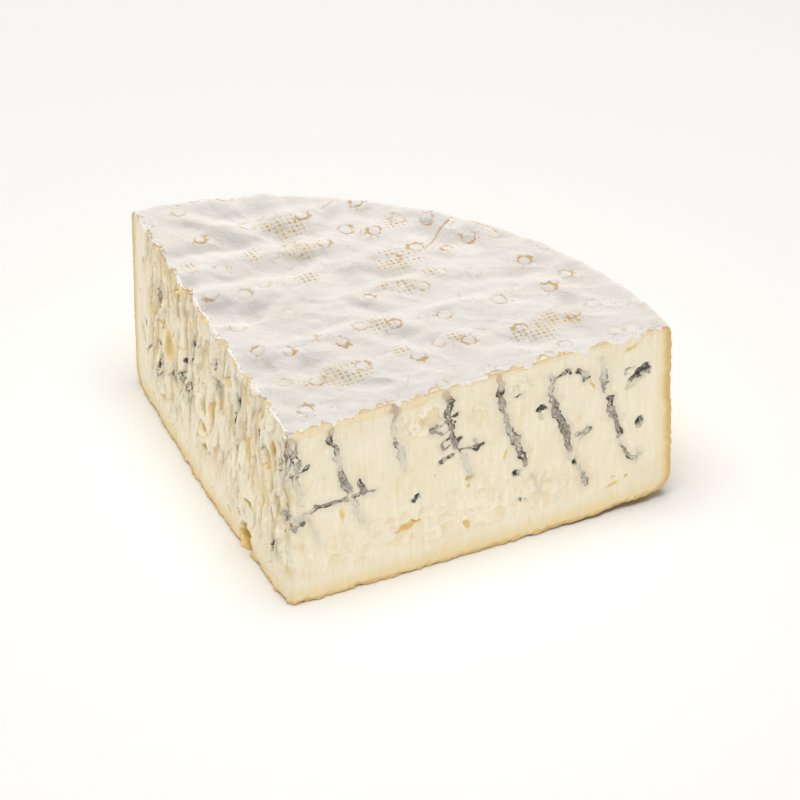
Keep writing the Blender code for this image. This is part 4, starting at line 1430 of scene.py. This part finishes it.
class CHEESE_OT_rind(bpy.types.Operator):
    """Model the white rind over the top"""

    bl_idname = "cheese.rind"
    bl_label = "Rind"

    def execute(self, context):
        wedge = Wedge(context.scene.cheese_form)
        steps = len(RIND_LIP) + len(RIND_TURN_IN)
        mesh = mesh_from("cheese_rind", grid_with_back(RIND_CELLS, RIND_CELLS, steps))
        shape_rind(mesh, wedge)
        face_outward(mesh)
        finish_piece("cheese_rind", mesh, rind_material(context.scene.cheese_colours))
        return {"FINISHED"}


class CHEESE_OT_crumbs(bpy.types.Operator):
    """Scatter the crumbs that cling to the cut faces"""

    bl_idname = "cheese.crumbs"
    bl_label = "Crumbs"

    def execute(self, context):
        rng = np.random.default_rng(CRUMB_SEED)
        bm = bmesh.new()
        bm.verts.layers.float.new("white")
        for band in CRUMB_BANDS:
            scatter_crumbs(bm, rng, band)
        mesh = mesh_from("cut_face_crumbs", bm)
        finish_piece("cut_face_crumbs", mesh, crumb_material(context.scene.cheese_colours))
        return {"FINISHED"}


# ---------------------------------------------------------------- stage, metres

FLOOR_HALF = 3.0
FLOOR_DROP = 0.0002
LIGHTS_AIM = (0.0, 0.0, 0.03)
CAMERA_AIM = (0.0205, -0.0299, 0.0529)
SENSOR_WIDTH = 36.0
WORLD_STRENGTH = 0.20
SOFT_WHITE = (1.0, 0.985, 0.965)
WARM_WHITE = (1.0, 0.975, 0.92)

# The soft lights: name, place, size, power, which pieces each falls on, colour.
LIGHTS = (
    ("behind", (-0.30, 1.15, 0.95), 0.32, 19.0, "skins", SOFT_WHITE),
    ("behind_faces", (-0.30, 1.15, 0.95), 0.32, 7.0, "cuts", SOFT_WHITE),
    ("top", (0.0, -0.20, 1.30), 0.50, 3.0, "all", SOFT_WHITE),
    ("right", (0.62, -0.95, 1.05), 0.30, 9.2, "sides", SOFT_WHITE),
    ("right_all", (1.10, -0.65, 0.60), 0.45, 2.5, "all", SOFT_WHITE),
    ("left", (-1.20, 0.12, 0.80), 0.28, 7.5, "sides", WARM_WHITE),
    ("left_all", (-1.10, -0.55, 0.60), 0.45, 2.5, "all", SOFT_WHITE),
)


def soft_light(name, place, aim, size, power, lit, tint=SOFT_WHITE):
    """Adds a round soft light that falls on the listed pieces alone."""
    light = bpy.data.lights.new(name, "AREA")
    light.shape = "DISK"
    light.size = size
    light.energy = power
    light.color = tint
    lamp = bpy.data.objects.new(name, light)
    lamp.location = place
    lamp.rotation_euler = (Vector(aim) - Vector(place)).to_track_quat("-Z", "Y").to_euler()
    bpy.context.collection.objects.link(lamp)
    group = bpy.data.collections.new(name + "_lit")
    for piece in lit:
        group.objects.link(piece)
    lamp.light_linking.receiver_collection = group


def add_floor(shade):
    """A wide plane just under the wedge."""
    bm = bmesh.new()
    bmesh.ops.create_grid(bm, x_segments=1, y_segments=1, size=FLOOR_HALF)
    mesh = mesh_from("floor", bm)
    mesh.materials.append(floor_material(shade))
    floor = bpy.data.objects.new("floor", mesh)
    floor.location.z = CAD_LOW[2] - FLOOR_DROP
    bpy.context.collection.objects.link(floor)
    return floor


def add_lights(scene, floor):
    """Lights the cut faces, the rind and rim, and the floor, each with its own balance."""
    pieces = [piece for piece in scene.objects if piece.type == "MESH" and piece != floor]
    cuts = [piece for piece in pieces if piece.name.startswith("cut_face")]
    lit = {
        "all": pieces,
        "cuts": cuts,
        "skins": [piece for piece in pieces if piece not in cuts],
        "sides": [piece for piece in pieces if piece.name != "cheese_rind"],
    }
    for name, place, size, power, group, tint in LIGHTS:
        soft_light(name, place, LIGHTS_AIM, size, power, lit[group], tint)
    soft_light("floor_fill", (0.0, -0.10, 1.40), (0.0, 0.0, 0.0), 1.20, 19.0, [floor])
    world = bpy.data.worlds.new("studio")
    world.use_nodes = True
    backdrop = world.node_tree.nodes["Background"]
    Tree(world.node_tree).fill(backdrop, {"Color": (1.0, 1.0, 1.0, 1.0), "Strength": WORLD_STRENGTH})
    scene.world = world
    scene.view_settings.view_transform = "Standard"


def add_camera(scene, setup):
    """Looks at the wedge from the set bearing, height and distance."""
    bearing, rise = setup.azimuth, setup.elevation
    level = math.cos(rise)
    back = Vector((math.sin(bearing) * level, -math.cos(bearing) * level, math.sin(rise)))
    data = bpy.data.cameras.new("camera")
    data.lens = setup.lens
    data.sensor_width = SENSOR_WIDTH
    data.clip_end = 20.0
    camera = bpy.data.objects.new("camera", data)
    camera.location = Vector(CAMERA_AIM) + back * setup.distance
    camera.rotation_euler = (-back).to_track_quat("-Z", "Y").to_euler()
    bpy.context.collection.objects.link(camera)
    scene.camera = camera


class CHEESE_OT_stage(bpy.types.Operator):
    """Add the pale floor, the soft lights and the camera"""

    bl_idname = "cheese.stage"
    bl_label = "Stage"

    def execute(self, context):
        setup = context.scene.cheese_stage
        add_lights(context.scene, add_floor(setup.floor))
        add_camera(context.scene, setup)
        return {"FINISHED"}


class CHEESE_PT_panel(bpy.types.Panel):
    """Lists the pieces of the wedge"""

    bl_label = "Blue Cheese Wedge"
    bl_idname = "CHEESE_PT_panel"
    bl_space_type = "VIEW_3D"
    bl_region_type = "UI"
    bl_category = "Cheese"

    def draw(self, context):
        for operator in STEPS:
            self.layout.operator(operator.bl_idname)
        for group in (context.scene.cheese_form, context.scene.cheese_colours, context.scene.cheese_stage):
            box = self.layout.box()
            for name in group.bl_rna.properties.keys():
                if name not in {"rna_type", "name"}:
                    box.prop(group, name)


STEPS = (CHEESE_OT_cut_faces, CHEESE_OT_rim, CHEESE_OT_rind, CHEESE_OT_crumbs, CHEESE_OT_stage)
CLASSES = (WedgeForm, CheeseColours, StageSetup) + STEPS + (CHEESE_PT_panel,)


def register():
    for cls in CLASSES:
        bpy.utils.register_class(cls)
    bpy.types.Scene.cheese_form = PointerProperty(type=WedgeForm)
    bpy.types.Scene.cheese_colours = PointerProperty(type=CheeseColours)
    bpy.types.Scene.cheese_stage = PointerProperty(type=StageSetup)


def unregister():
    del bpy.types.Scene.cheese_stage
    del bpy.types.Scene.cheese_colours
    del bpy.types.Scene.cheese_form
    for cls in reversed(CLASSES):
        bpy.utils.unregister_class(cls)


def main():
    register()
    bpy.ops.cheese.cut_faces()
    bpy.ops.cheese.rim()
    bpy.ops.cheese.rind()
    bpy.ops.cheese.crumbs()
    bpy.ops.cheese.stage()


if __name__ == "__main__":
    main()
